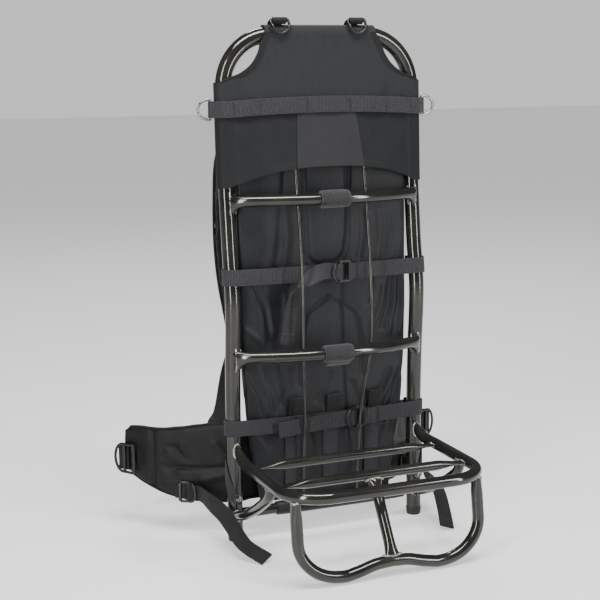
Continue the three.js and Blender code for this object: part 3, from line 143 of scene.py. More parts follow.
def smooth(points, count, closed=False):
    """A cubic through points, even steps of arc length. Columns past the third are carried along."""
    p = np.asarray(points, float)
    if closed:
        ring = np.vstack([p[-1:], p, p[:2]])
    else:
        ring = np.vstack([2 * p[:1] - p[1:2], p, 2 * p[-1:] - p[-2:-1]])
    chord = np.linalg.norm(np.diff(ring[:, :3], axis=0), axis=1)
    knots = np.concatenate([[0], np.cumsum(np.sqrt(np.maximum(chord, 1e-6)))])
    slope = np.gradient(ring, knots, axis=0)
    t = np.linspace(0, 1, 33)[None, :, None]
    span = np.diff(knots)[1:-1, None, None]
    a, b = ring[1:-2, None], ring[2:-1, None]
    ma, mb = slope[1:-2, None] * span, slope[2:-1, None] * span
    fine = (a * (1 + 2 * t) * (1 - t) ** 2 + ma * t * (1 - t) ** 2
            + b * t * t * (3 - 2 * t) - mb * t * t * (1 - t))
    fine = np.vstack([fine[0, :1], fine[:, 1:].reshape(-1, p.shape[1])])
    run = np.concatenate([[0], np.cumsum(np.linalg.norm(np.diff(fine[:, :3], axis=0), axis=1))])
    at = np.linspace(0, run[-1], count + 1)
    line = read_at(run, fine, at)
    return line[:-1] if closed else line


def arc_length(path):
    """Distance along a path at each of its points."""
    return np.concatenate([[0], np.cumsum(np.linalg.norm(np.diff(path, axis=0), axis=1))])


def read_at(run, path, at):
    """A path's columns at distances along it."""
    return np.stack([np.interp(at, run, column) for column in path.T], 1)


def columns(*values):
    """Points, or a grid of them, from an array or a single number for each coordinate."""
    return np.stack(np.broadcast_arrays(*values), -1).astype(float)


def mirrored(points):
    """The points on the other side, in reverse order."""
    return (points * (-1, 1, 1))[::-1]


def frames(path, across, closed=False):
    """Along, across and out of a path at each point, at right angles to each other."""
    if closed:
        tangent = unit(np.roll(path, -1, 0) - np.roll(path, 1, 0))
    else:
        tangent = unit(np.gradient(path, axis=0))
    across = np.broadcast_to(np.asarray(across, float), path.shape)
    first = unit(across - (across * tangent).sum(1, keepdims=True) * tangent)
    return tangent, first, np.cross(tangent, first)


def carried(path, across, section, closed=False):
    """Grid of a section (count, around, 2) or (around, 2) carried along a path."""
    _, first, second = frames(path, across, closed)
    section = np.broadcast_to(section, (len(path),) + np.shape(section)[-2:])
    return path[:, None] + first[:, None] * section[..., :1] + second[:, None] * section[..., 1:]


def squarish(a, b, power=0.45, sides=28):
    """Section of a superellipse: cosine and sine raised to a power below one. The half sizes a and b
    may each be one number or one for each station."""
    angle = 2 * np.pi * (np.arange(sides) + 0.5) / sides
    c, s = np.cos(angle), np.sin(angle)
    u, v = np.sign(c) * abs(c) ** power, np.sign(s) * abs(s) ** power
    a, b = np.broadcast_arrays(np.asarray(a, float)[..., None], np.asarray(b, float)[..., None])
    return np.stack([a * u, b * v], -1)


def oval(a, b, sides=24):
    """Section of an ellipse."""
    return squarish(a, b, 1.0, sides)


def skin(grid, around=True, closed=False, caps=True, u=None, v=None):
    """Faces and UVs of a grid of points. u runs along the rows and v across them, in metres."""
    grid = np.asarray(grid, float)
    n, m = grid.shape[:2]
    i = np.arange(n if closed else n - 1)[:, None]
    k = np.arange(m if around else m - 1)[None, :]
    i, k = np.broadcast_arrays(i, k)
    corners = [(i, k), (i, k + 1), (i + 1, k + 1), (i + 1, k)]
    quads = np.stack([(a % n) * m + b % m for a, b in corners], -1).reshape(-1, 4)
    if u is None:
        centre = grid.mean(1)
        u = arc_length(np.vstack([centre, centre[:1]])) * MM
    if v is None:
        ring = grid[n // 2]
        v = arc_length(np.vstack([ring, ring[:1]])) * MM
    u, v = np.append(u, u[-1]), np.append(v, v[-1])
    uv = np.stack([np.stack([u[a], v[b]], -1) for a, b in corners], -2).reshape(-1, 2)
    faces = quads.tolist()
    if around and caps and not closed:
        faces += [list(range(m)), list(range((n - 1) * m, n * m))[::-1]]
        uv = np.vstack([uv, np.zeros((2 * m, 2))])
    return {"points": grid.reshape(-1, 3), "faces": faces, "uv": uv}


def shell(grid, wall, v=None):
    """Closed shell of cloth about a grid: half the wall to each side, along the surface's normal."""
    grid = np.asarray(grid, float)
    n, m = grid.shape[:2]
    normal = unit(np.cross(np.gradient(grid, axis=0), np.gradient(grid, axis=1)))
    half = np.broadcast_to(np.asarray(wall, float), (n, m))[..., None] / 2
    ring = np.concatenate([grid + normal * half, (grid - normal * half)[:, ::-1]], 1)
    if v is None:
        v = arc_length(grid[n // 2]) * MM
    made = skin(ring, caps=False, u=arc_length(grid[:, m // 2]) * MM,
                v=np.concatenate([v, v[::-1], v[:1]]))
    ends = []
    for row, turn in ((0, 1), (n - 1, -1)):
        k = np.arange(m - 1)
        quad = row * 2 * m + np.stack([k, 2 * m - 1 - k, 2 * m - 2 - k, k + 1], -1)
        ends += quad[:, ::turn].tolist()
    made["faces"] += ends
    made["uv"] = np.vstack([made["uv"], np.zeros((4 * len(ends), 2))])
    return made


def strap(path, width, wall=WEB_WALL, across=None, hems=(False, False), crown=0.0):
    """Shell of webbing along a path: the wall thins at both edges, and doubles at a hemmed end."""
    if path.shape[1] > 3:
        path, across = path[:, :3], path[:, 3:6]
    _, first, second = frames(path, across)
    place = np.array([-1, -0.97, -0.8, -0.4, 0, 0.4, 0.8, 0.97, 1.0])
    edge = np.array([0.35, 0.8, 1, 1, 1, 1, 1, 0.8, 0.35])
    bow = crown * (1 - place ** 2)
    width = np.broadcast_to(np.asarray(width, float), len(path))[:, None]
    grid = (path[:, None] + first[:, None] * (place * width / 2)[..., None]
            + second[:, None] * bow[None, :, None])
    run = arc_length(path)
    thick = np.ones(len(path))
    for at_end, distance in zip(hems, (run, run[-1] - run)):
        if at_end:
            thick += 1 - step(15, 17, distance)
    return shell(grid, wall * thick[:, None] * edge, v=place * float(width.mean()) / 2 * MM)


def tube(path, radius, across=Z, sides=24, closed=False, caps=True):
    """Round tube along a path."""
    radius = np.broadcast_to(np.asarray(radius, float), len(path))
    return skin(carried(path, across, oval(radius, radius, sides), closed), closed=closed, caps=caps)


def bead(path, radius=2.2, ripple=0.16, pitch=3.2, closed=True, across=Z):
    """Weld bead: a tube along the joint whose radius swells once for each drop of metal."""
    path = smooth(path, max(24, int(arc_length(path)[-1] / pitch * 5)), closed)
    run = arc_length(path)
    drops = max(4, round(run[-1] / pitch))
    thick = radius * (1 + ripple * (2 * np.abs(np.sin(np.pi * drops * run / run[-1])) - 1))
    if not closed:
        thick *= np.sqrt(np.clip(1 - (2 * run / run[-1] - 1) ** 8, 0.02, 1))
    return tube(path, thick, across, 8, closed)


def saddle(centre, heading, a_dir, a, b, host, axis, radius):
    """Closed line where a tube that arrives along heading meets a host tube: each point of its oval
    outline, half sizes a and b, goes along the heading until it is radius from the host's axis."""
    heading, axis = unit(heading), unit(axis)
    a_dir = unit(np.asarray(a_dir, float) - heading * np.dot(a_dir, heading))
    b_dir = np.cross(heading, a_dir)
    angle = np.linspace(0, 2 * np.pi, 28, endpoint=False)[:, None]
    ring = np.asarray(centre, float) + a_dir * a * np.cos(angle) + b_dir * b * np.sin(angle)
    w = ring - host
    w = w - (w @ axis)[:, None] * axis
    h = heading - (heading @ axis) * axis
    hh, wh, ww = h @ h, w @ h, (w * w).sum(1)
    t = (-wh - np.sqrt(np.maximum(wh ** 2 - hh * (ww - radius ** 2), 0))) / hh
    return ring + t[:, None] * heading


def lathe(centre, axis, profile, sides=32):
    """Turned shape: profile rows are (distance along the axis, radius)."""
    axis = unit(axis)
    side = unit(np.cross(axis, Z if abs(axis[2]) < 0.9 else X))
    profile = np.asarray(profile, float)
    path = np.asarray(centre, float) + profile[:, :1] * axis
    angle = 2 * np.pi * np.arange(sides) / sides
    ring = np.cos(angle)[:, None] * side + np.sin(angle)[:, None] * np.cross(axis, side)
    return skin(path[:, None] + ring[None] * profile[:, 1, None, None])


# ---------------------------------------------------------------- objects

def merged(skins):
    """Points, faces and UVs of several skins as one mesh."""
    starts = np.concatenate([[0], np.cumsum([len(s["points"]) for s in skins])])
    faces = [[k + int(start) for k in face] for s, start in zip(skins, starts) for face in s["faces"]]
    return np.vstack([s["points"] for s in skins]), faces, np.vstack([s["uv"] for s in skins])


def turned_out(one):
    """The skin with its faces outwards: where the volume it encloses is below zero they are turned."""
    p = one["points"] - one["points"].mean(0)
    quads = np.array([f for f in one["faces"] if len(f) == 4])
    a, b, c, d = (p[quads[:, k]] for k in range(4))
    volume = (np.cross(a, b) * c).sum() + (np.cross(a, c) * d).sum()
    if volume < 0:
        sizes = [len(f) for f in one["faces"]]
        ends = np.cumsum(sizes)
        one["uv"] = np.vstack([one["uv"][e - s:e][::-1] for s, e in zip(sizes, ends)])
        one["faces"] = [f[::-1] for f in one["faces"]]
    return one


def piece(name, skins, finish, nodes=(), sharp=38, open_sheet=False):
    """One object at the origin, its place in its mesh, that rides on the frame."""
    skins = skins if isinstance(skins, list) else [skins]
    if not open_sheet:
        skins = [turned_out(s) for s in skins]
    points, faces, uv = merged(skins)
    mesh = bpy.data.meshes.new(name)
    mesh.from_pydata(world(points).tolist(), [], faces)
    layer = mesh.uv_layers.new(name="UVMap")
    layer.uv.foreach_set("vector", uv.astype(np.float32).ravel())
    mesh.shade_smooth()
    mesh.set_sharp_from_angle(angle=math.radians(sharp))
    mesh.materials.append(finish)
    obj = bpy.data.objects.new(name, mesh)
    SCENE.collection.objects.link(obj)
    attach(obj, "root")
    if nodes:
        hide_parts(*nodes)
    return obj


def stitches(rows, pitch=3.6, size=(1.25, 0.42, 0.34)):
    """Rows of thread: each stitch is a lozenge of eight faces, long along its row and low on the
    cloth. A row is (path, outward direction)."""
    made = []
    for path, out in rows:
        path = np.asarray(path, float)
        run = arc_length(path)
        at = np.arange(pitch / 2, run[-1], pitch)
        if not len(at):
            continue
        centre = read_at(run, path, at)
        ahead = unit(read_at(run, path, at + 0.2) - read_at(run, path, at - 0.2))
        out = np.asarray(out, float)
        if out.ndim > 1:
            out = read_at(run, out, at)
        out = unit(out - (ahead * out).sum(1, keepdims=True) * ahead)
        side = np.cross(ahead, out)
        long, wide, high = size
        corners = np.stack([centre - ahead * long, centre + ahead * long, centre - side * wide,
                            centre + side * wide, centre - out * high, centre + out * high], 1)
        base = np.arange(len(at))[:, None, None] * 6
        tri = np.array([(0, 2, 5), (2, 1, 5), (1, 3, 5), (3, 0, 5),
                        (2, 0, 4), (1, 2, 4), (3, 1, 4), (0, 3, 4)])
        faces = (base + tri[None, :, ::-1]).reshape(-1, 3)
        made.append({"points": corners.reshape(-1, 3), "faces": faces.tolist(),
                     "uv": np.zeros((len(faces) * 3, 2))})
    return made


def thread(name, rows, slot, **sizes):
    """Object of stitches."""
    return piece(name, stitches(rows, **sizes), THREAD, open_sheet=True, sharp=80)


def tape_piece(name, line, width, finish, node, held, rests_on, slot="webbing", **options):
    tape = piece(name, strap(line, width, **options), finish, [node] if node else ())


def baked(obj):
    """Applies the object's modifiers."""
    graph = bpy.context.evaluated_depsgraph_get()
    mesh = bpy.data.meshes.new_from_object(obj.evaluated_get(graph))
    old = obj.data
    obj.modifiers.clear()
    obj.data = mesh
    bpy.data.meshes.remove(old)


def coordinates(mesh, values=None):
    """Reads or writes a mesh's points, in the maker's millimetres."""
    if values is None:
        flat = np.empty(len(mesh.vertices) * 3, np.float32)
        mesh.vertices.foreach_get("co", flat)
        return (flat.reshape(-1, 3).astype(float) - PLACE) / MM
    mesh.vertices.foreach_set("co", world(values).astype(np.float32).ravel())
    mesh.update()
    return values


def stuffed(name, skins, finish, nodes, seams, shape,
            voxel=5.0, cap=6.0, pressure=4.0):
    """Padded piece: remeshed evenly, swollen by Cloth pressure with its seams held, then divided
    once and given its folds. seams and shape work on the points as whole arrays."""
    obj = piece(name, skins, finish, nodes)
    remesh = obj.modifiers.new("even", "REMESH")
    remesh.mode = "VOXEL"
    remesh.voxel_size = voxel * MM
    baked(obj)
    rest = coordinates(obj.data)
    held = obj.vertex_groups.new(name="seams")
    held.add(np.flatnonzero(seams(rest)).tolist(), 1.0, "REPLACE")
    cloth = obj.modifiers.new("swell", "CLOTH")
    setting = cloth.settings
    setting.quality = 5
    setting.mass = 0.2
    setting.tension_stiffness = setting.compression_stiffness = 18
    setting.shear_stiffness = 6
    setting.bending_stiffness = 0.5
    setting.use_pressure = True
    setting.uniform_pressure_force = pressure
    setting.effector_weights.gravity = 0
    setting.vertex_group_mass = "seams"
    cloth.point_cache.frame_start = 1
    cloth.point_cache.frame_end = 20
    for number in range(1, 21):
        SCENE.frame_set(number)
    graph = bpy.context.evaluated_depsgraph_get()
    swollen = coordinates(obj.evaluated_get(graph).data)
    move = swollen - rest
    far = np.linalg.norm(move, axis=1, keepdims=True)
    obj.modifiers.clear()
    obj.vertex_groups.clear()
    SCENE.frame_set(1)
    coordinates(obj.data, rest + move * np.minimum(1, cap / np.maximum(far, 1e-6)))
    finer = obj.modifiers.new("finer", "SUBSURF")
    finer.levels = finer.render_levels = 1
    baked(obj)
    coordinates(obj.data, shape(coordinates(obj.data)))
    obj.data.shade_smooth()
    return obj


def onto(obj, points, heading, lift=0.3):
    """Points moved along a heading onto an object's surface, lifted a little towards where they
    came from."""
    graph = bpy.context.evaluated_depsgraph_get()
    tree = BVHTree.FromObject(obj, graph)
    heading = unit(heading)
    starts = world(points) - heading * 0.08
    found = []
    for start, point in zip(starts, world(points)):
        hit = tree.ray_cast(Vector(start), Vector(heading), 0.2)[0]
        found.append(np.array(hit) if hit else point)
    return (np.array(found) - PLACE) / MM - heading * lift


def ridge(points, line, width, height):
    """Height of a rounded ridge (or, below zero, a groove) along a line in the x z plane."""
    p = points[:, [0, 2]]
    a, b = np.asarray(line, float)[:-1], np.asarray(line, float)[1:]
    run = b - a
    t = np.clip(((p[:, None] - a) * run).sum(2) / (run ** 2).sum(1), 0, 1)
    far = np.linalg.norm(p[:, None] - a - t[..., None] * run, axis=2).min(1)
    return height * np.exp(-(far / width) ** 2)


# ---------------------------------------------------------------- finishes

class Finish:
    """A procedural material: small helpers round one node tree."""

    def __init__(self, name, **shader):
        self.material = bpy.data.materials.new(name)
        self.material.use_nodes = True
        self.tree = self.material.node_tree
        self.tree.nodes.clear()
        self.out = self.tree.nodes.new("ShaderNodeOutputMaterial")
        self.shader = self.tree.nodes.new("ShaderNodeBsdfPrincipled")
        self.tree.links.new(self.shader.outputs[0], self.out.inputs[0])
        for key, value in shader.items():
            self.shader.inputs[key.replace("_", " ")].default_value = value
        self.coords = self.tree.nodes.new("ShaderNodeTexCoord")

    def feed(self, socket, value):
        if isinstance(value, (int, float)):
            socket.default_value = value
        elif isinstance(value, tuple):
            socket.default_value = value if len(value) == len(socket.default_value) else (*value, 1)
        else:
            self.tree.links.new(value, socket)

    def sum(self, kind, a, b=0.0):
        """A Math node."""
        node = self.tree.nodes.new("ShaderNodeMath")
        node.operation = kind
        self.feed(node.inputs[0], a)
        self.feed(node.inputs[1], b)
        return node.outputs[0]

    def plus(self, a, b):
        return self.sum("ADD", a, b)

    def times(self, a, b):
        return self.sum("MULTIPLY", a, b)

    def axes(self, which="Object"):
        node = self.tree.nodes.new("ShaderNodeSeparateXYZ")
        self.tree.links.new(self.coords.outputs[which], node.inputs[0])
        return node.outputs

    def noise(self, scale, detail=3.0, rough=0.55, which="Object", stretch=None):
        node = self.tree.nodes.new("ShaderNodeTexNoise")
        source = self.coords.outputs[which]
        if stretch:
            mapping = self.tree.nodes.new("ShaderNodeMapping")
            mapping.inputs["Scale"].default_value = stretch
            self.tree.links.new(source, mapping.inputs[0])
            source = mapping.outputs[0]
        self.tree.links.new(source, node.inputs["Vector"])
        node.inputs["Scale"].default_value = scale
        node.inputs["Detail"].default_value = detail
        node.inputs["Roughness"].default_value = rough
        return node.outputs["Fac"]

    def spread(self, value, low, high, to_low=0.0, to_high=1.0):
        node = self.tree.nodes.new("ShaderNodeMapRange")
        for socket, number in zip(node.inputs[:5], (value, low, high, to_low, to_high)):
            self.feed(socket, number)
        return node.outputs[0]

    def blend(self, amount, a, b):
        node = self.tree.nodes.new("ShaderNodeMix")
        node.data_type = "RGBA"
        self.feed(node.inputs[0], amount)
        self.feed(node.inputs[6], a)
        self.feed(node.inputs[7], b)
        return node.outputs[2]

    def wave(self, value, pitch):
        """Sine of a length in metres, once for each pitch in metres."""
        return self.sum("SINE", self.times(value, 2 * math.pi / pitch))

    def done(self, colour=None, rough=None, height=None, depth=0.0003, strength=0.4):
        if colour is not None:
            self.feed(self.shader.inputs["Base Color"], colour)
        if rough is not None:
            self.feed(self.shader.inputs["Roughness"], rough)
        if height is not None:
            node = self.tree.nodes.new("ShaderNodeBump")
            node.inputs["Strength"].default_value = strength
            node.inputs["Distance"].default_value = depth
            self.tree.links.new(height, node.inputs["Height"])
            self.tree.links.new(node.outputs[0], self.shader.inputs["Normal"])
        return self.material


def tube_finish():
    """Glossy black anodised tube: olive under the gloss, faint drawing marks, small dull patches."""
    f = Finish("black_tube", Metallic=0.6, Specular_IOR_Level=0.45, Coat_Weight=0.25,
               Coat_Roughness=0.07)
    broad, fine = f.noise(14, 4), f.noise(420, 2)
    colour = f.blend(f.spread(broad, 0.35, 0.7), (0.019, 0.0187, 0.0175), (0.036, 0.0345, 0.0290))
    rough = f.spread(f.plus(f.times(fine, 0.4), broad), 0.4, 1.1, 0.11, 0.17)
    return f.done(colour, rough, fine, 0.00004, 0.12)


def weld_finish():
    """Bare weld metal: bright, with dark scale between the drops."""
    f = Finish("weld_metal", Metallic=0.9)
    spots = f.noise(260, 4, 0.7)
    colour = f.blend(f.spread(spots, 0.4, 0.58), (0.03, 0.029, 0.026), (0.4, 0.39, 0.37))
    return f.done(colour, f.spread(spots, 0.3, 0.7, 0.42, 0.2), spots, 0.0006, 0.8)


def steel_finish():
    """Bright plated wire with fine wear marks."""
    f = Finish("plated_wire", Metallic=1.0, Coat_Weight=0.15)
    fine = f.noise(500, 3)
    colour = f.blend(f.noise(60, 3), (0.12, 0.12, 0.125), (0.26, 0.26, 0.265))
    return f.done(colour, f.spread(fine, 0.3, 0.7, 0.2, 0.3), fine, 0.00002, 0.1)


def plastic_finish(name, colour, rough_low, rough_high, grain=900):
    """Moulded plastic: a fine even grain and slightly rubbed patches."""
    f = Finish(name, Specular_IOR_Level=0.35)
    fine, broad = f.noise(grain, 2), f.noise(35, 3)
    low, high = (tuple(c * share for c in colour) for share in (0.75, 1.5))
    rough = f.spread(broad, 0.3, 0.7, rough_low, rough_high)
    return f.done(f.blend(broad, low, high), rough, fine, 0.00012, 0.25)


def cloth_finish(name, dark, light, pitch=0.0015, rough=(0.62, 0.82), sheen=0.12, split=None):
    """Plain weave on object coordinates: warp sin(2 pi (x + 0.8 y) / pitch) times weft
    sin(2 pi z / pitch), with broad shading and thread noise. split is a height in metres below
    which the cloth is the darker of two."""
    f = Finish(name, Sheen_Weight=sheen, Sheen_Roughness=0.45, Specular_IOR_Level=0.16)
    x, y, z = f.axes()[:3]
    weave = f.times(f.wave(f.plus(x, f.times(y, 0.8)), pitch), f.wave(z, pitch))
    broad, fine = f.noise(9, 5, 0.6), f.noise(1400, 2)
    slub = f.noise(160, 3, 0.6, stretch=(1, 1, 0.25))
    amount = f.plus(f.plus(f.times(broad, 0.8), f.times(slub, 0.55)), f.times(weave, 0.16))
    share = f.spread(amount, 0.38, 0.98)
    colour = f.blend(share, dark, light)
    if split:
        shaded = f.blend(share, tuple(c * 0.56 for c in dark), tuple(c * 0.58 for c in light))
        colour = f.blend(f.spread(z, split + 0.0002, split - 0.0002), colour, shaded)
    height = f.plus(f.times(weave, 0.5), f.times(fine, 0.7))
    return f.done(colour, f.spread(broad, 0.3, 0.7, *rough), height, 0.0003, 0.35)


def webbing_finish(name, dark, light, rib=0.0024):
    """Woven tape on the strap's own UV: ribs |sin| of the length, their phase shifted by the warp
    ends across it, and a smoother line along the middle of each warp. Its colour is darker in the
    rib hollows and lighter on the crests, painted shade and highlight, over a random slub tone."""
    f = Finish(name, Sheen_Weight=0.08, Sheen_Roughness=0.4, Specular_IOR_Level=0.16)
    u, v = f.axes("UV")[:2]
    warp = f.wave(v, 0.0032)
    phase = f.plus(f.times(u, math.pi / rib), f.times(warp, 0.3))
    rib_height = f.sum("ABSOLUTE", f.sum("SINE", phase))
    height = f.plus(rib_height, f.times(warp, 0.22))
    slub = f.noise(240, 3, 0.6)
    # Painted shade and highlight: the rib height darkens the hollows and lightens the crests; the slub
    # noise is the tape's own uneven tone
    amount = f.plus(f.times(rib_height, 0.55), f.times(slub, 0.6))
    colour = f.blend(f.spread(amount, 0.25, 1.0), dark, light)
    return f.done(colour, f.spread(slub, 0.3, 0.7, 0.6, 0.8), height, 0.0005, 0.75)


def felt_finish():
    """Hook-and-loop tape: short fuzz as two sizes of noise."""
    f = Finish("loop_tape", Sheen_Weight=0.15, Sheen_Roughness=0.5, Specular_IOR_Level=0.2)
    coarse, fine = f.noise(420, 4, 0.75), f.noise(1300, 2, 0.7)
    fuzz = f.plus(f.times(coarse, 0.7), f.times(fine, 0.4))
    colour = f.blend(f.spread(fuzz, 0.4, 0.72), (0.002, 0.002, 0.0023), (0.026, 0.026, 0.0285))
    return f.done(colour, 0.9, fuzz, 0.0012, 0.9)


TUBE, WELD, STEEL = tube_finish(), weld_finish(), steel_finish()
PLASTIC = plastic_finish("black_plastic", (0.003, 0.003, 0.0033), 0.3, 0.42)
RUBBER = plastic_finish("foot_rubber", (0.012, 0.012, 0.012), 0.55, 0.75, 500)
PANEL = cloth_finish("coated_cloth", (0.0067, 0.0072, 0.0080), (0.0131, 0.0138, 0.0154),
                     split=0.6765, sheen=0.02)
PATCH = cloth_finish("patch_cloth", (0.0097, 0.0098, 0.0109), (0.0150, 0.0152, 0.0168), 0.0018,
                     sheen=0.02)
BINDING = cloth_finish("binding_tape", (0.0035, 0.0037, 0.0041), (0.0070, 0.0074, 0.0082), 0.0012,
                       sheen=0.02)
PAD = cloth_finish("pad_cloth", (0.0052, 0.0055, 0.0063), (0.0127, 0.0134, 0.0150), 0.0012,
                   (0.34, 0.5), 0.03)
BELT = cloth_finish("belt_cloth", (0.0020, 0.0021, 0.0024), (0.0040, 0.0042, 0.0048), 0.0014,
                    (0.42, 0.58), 0.01)
WEBBING = webbing_finish("grey_webbing", (0.0015, 0.0015, 0.0017), (0.034, 0.0334, 0.0372))
DARK_WEBBING = webbing_finish("dark_webbing", (0.001, 0.001, 0.0012), (0.0165, 0.0163, 0.0181))
TACK = plastic_finish("tack_thread", (0.002, 0.002, 0.0022), 0.6, 0.7, 1600)
FELT = felt_finish()
THREAD = plastic_finish("thread", (0.012, 0.0125, 0.0135), 0.55, 0.7, 1600)


# ---------------------------------------------------------------- frame

def lean(z):
    """Fore and aft place of an upright's middle at a height."""
    return HOOP_SWAY * along(LEAN, 1, np.asarray(z, float) / HOOP_HEIGHT)


def hoop_path():
    """Up one side, a quarter circle, the top bar, and the mirror of that."""
    straight = HOOP_HEIGHT - HOOP_CORNER
    z = np.linspace(FOOT_TOP, straight, 90)
    angle = np.linspace(0, np.pi / 2, 25)[1:]
    x = np.concatenate([np.full(len(z), HOOP_HALF), HOOP_HALF - HOOP_CORNER * (1 - np.cos(angle))])
    z = np.concatenate([z, straight + HOOP_CORNER * np.sin(angle)])
    right = columns(x, lean(z), z)
    top_x = np.linspace(right[-1, 0], -right[-1, 0], 20)[1:-1]
    return np.vstack([right, columns(top_x, right[-1, 1], HOOP_HEIGHT), mirrored(right)])


def pressed_tube(name, path, across, radius, flat, amount, node):
    """Tube that goes from round to an oval of two half sizes, by an amount at each point."""
    section = oval(mix(radius, flat[0], amount), mix(radius, flat[1], amount), 28)
    piece(name, skin(carried(path, across, section)), TUBE, [node])


def near_ends(path, reach, power):
    """One at both ends of a path, falling to zero over a reach."""
    run = arc_length(path)
    return np.maximum(0, 1 - np.minimum(run, run[-1] - run) / reach) ** power


FOOT_TOP = 9.3
piece("hoop_tube", tube(hoop_path(), HOOP_R, Y, 32), TUBE, ["main_frame_hoop"])
CAP = [(0, 0.1), (0, 9.2), (0.4, 10.6), (1.4, 11.4), (3, 11.7), (9.4, 12.35), (12.6, 12.6),
       (13.4, 12.5), (13.8, 12.1), (13.8, 11.6)]
for side, sign in SIDES:
    bung = lathe((sign * HOOP_HALF, 0, 0), Z, CAP)
    piece(f"foot_bung_{side}", bung, RUBBER, [f"foot_cap_{side}"])

# Crossbars: bowed by |s|^2.6, the last of each end pressed flat and tall by |s|^22
BAR_R, BAR_FLARE, BAR_FLAT = 8.75, 35.0, 9.0
BAR_END = HOOP_HALF - 1
BOTTOM_Z = 43.0


def crossbar_path(height, bow, count=110):
    s = np.sin((np.pi / 2) * np.linspace(-1, 1, count))
    depth = mix(-bow, float(lean(height)) - HOOP_R * 0.9, np.abs(s) ** 2.6)
    return columns(s * BAR_END, depth, height - 5 * np.abs(s) ** 14), np.abs(s)


welds = []
BARS = {"upper": (537.0, 48.0), "lower": (298.0, 56.0)}
for label, (height, bow) in BARS.items():
    path, s = crossbar_path(height, bow)
    pressed_tube(f"crossbar_tube_{label}", path, Z, BAR_R, (BAR_FLARE / 2, BAR_FLAT / 2), s ** 22,
                 f"{label}_crossbar")
    # Weld metal round the flattened end: a bead, a low dome inside it and a seam on the upright
    for side, sign in SIDES:
        middle = np.array([sign * BAR_END, float(lean(height)) - HOOP_R * 0.9, height - 5])
        angle = 2 * np.pi * np.arange(26) / 26
        rim = middle + columns(sign * 0.5, 4.7 * np.cos(angle), 17.7 * np.sin(angle))
        welds.append(bead(rim, 1.5, 0.3, 3.2, True, X))
        share = np.linspace(0, 1, 6)[:, None, None]
        ring = middle + columns(sign * 0.9, 4.6 * np.cos(angle), 17.4 * np.sin(angle))
        dome = middle + (ring - middle) * (1 - 0.92 * share) + sign * 0.5 * share * X
        welds.append(skin(np.concatenate([(ring - (sign * 1.4, 0, 0))[None], dome])))
        z = height - 5 + np.linspace(-15.5, 15.5, 14)
        welds.append(bead(columns(sign * 147.0, lean(z) - 7.2, z), 1.7, 0.3, 3.2, False, X))

bottom = columns(np.linspace(-1, 1, 40) * (HOOP_HALF - 6), 0, BOTTOM_Z)
piece("bottom_bar_tube", tube(bottom, 8.5), TUBE, ["bottom_crossbar"])


def panel_depth(x, z):
    """Front of the cloth panel: the hoop's own depth, less a bulge that grows down the panel by its
    power 1.4 and fades to the sides by 1 - |x|^2.4."""
    share = np.minimum(np.abs(x) / HOOP_HALF, 1)
    drop = np.clip((HOOP_HEIGHT - z) / (HOOP_HEIGHT - PANEL_HEM), 0, 1)
    return lean(z) - SLEEVE_R - 34 * drop ** 1.4 * (1 - share ** 2.4)


HEM_RISE = 29


def hem_height(x):
    return PANEL_HEM + HEM_RISE * (1 - np.minimum(np.abs(x) / HOOP_HALF, 1) ** 2.6)


ROD_X, ROD_R = 57.5, 2.5
for side, sign in SIDES:
    x = sign * ROD_X
    hem = float(hem_height(x))
    inset = PANEL_WALL / 2 + GAP + ROD_R
    up = np.linspace(0, 1, 60)
    depth = mix(-44 * along(ROD_LINE, 1, up), panel_depth(x, hem) + inset, up ** 6)
    run = columns(x * along(ROD_LINE, 2, up), depth, mix(51.8, hem, up))
    z = np.linspace(hem, HOOP_HEIGHT - 6, 30)[1:]
    line = np.vstack([run, columns(x, panel_depth(x, z) + inset, z)])
    piece(f"rod_{side}", tube(line, ROD_R, X, 14), TUBE, [f"stay_rod_{side}"])

# Shelf: rails that fall from the uprights, round front corners, ends pressed flat
SHELF_Z = 140
rail_rear = float(lean(SHELF_Z)) - HOOP_R * 0.72


def shelf_top(y):
    return SHELF_Z - 6 * np.clip(-np.asarray(y, float) / SHELF_REACH, 0, 1)


RAIL = np.array([(0, 1, 0), (.4, .8, 0), (1, .3, .2), (1.6, .05, .6), (2.4, 0, 1)])
rail_y = rail_rear - 24 * RAIL[:, 0]
corner = np.linspace(0, np.pi / 2, 12)
corner_y = -SHELF_REACH + SHELF_CORNER * (1 - np.sin(corner))
half_shelf = np.vstack([
    columns(mix(BAR_END, SHELF_HALF, RAIL[:, 2]), rail_y, shelf_top(rail_y) + 8 * RAIL[:, 1]),
    columns(SHELF_HALF - SHELF_CORNER * (1 - np.cos(corner)), corner_y, shelf_top(corner_y)),
])
shelf_path = smooth(np.vstack([half_shelf, mirrored(half_shelf)]), 220)
pressed_tube("shelf_tube", shelf_path, Z, SHELF_R, (SHELF_R * 1.25, SHELF_R * 0.45),
             near_ends(shelf_path, 34, 1.5), "shelf_hoop")
for side, sign in SIDES:
    line = saddle(shelf_path[0] * (sign, 1, 1), (0.0, 1, 0.12), Z, 11, 5.0,
                  (sign * HOOP_HALF, 0, 0), Z, HOOP_R)
    welds.append(bead(line, 1.9, 0.25))

SLAT_REACH, SLAT_R = 175.0, 7.5
for label, reach in (("rear", 77.0), ("front", SLAT_REACH)):
    s = np.sin(np.linspace(-1, 1, 90) * np.pi / 2)
    z = float(shelf_top(-reach))
    pressed_tube(f"shelf_bar_{label}", columns(s * (SHELF_HALF - 4.5), -reach, z), Z, SLAT_R,
                 (1.7, 9.0), step(0.66, 0.97, np.abs(s)), f"shelf_slat_{label}")
    for sign in (-1, 1):
        line = saddle((sign * 140, -reach, z), (sign, 0, 0), Y, 9.2, 2.0,
                      (sign * SHELF_HALF, 0, z), Y, SHELF_R)
        welds.append(bead(line, 1.4, 0.3, 2.8))

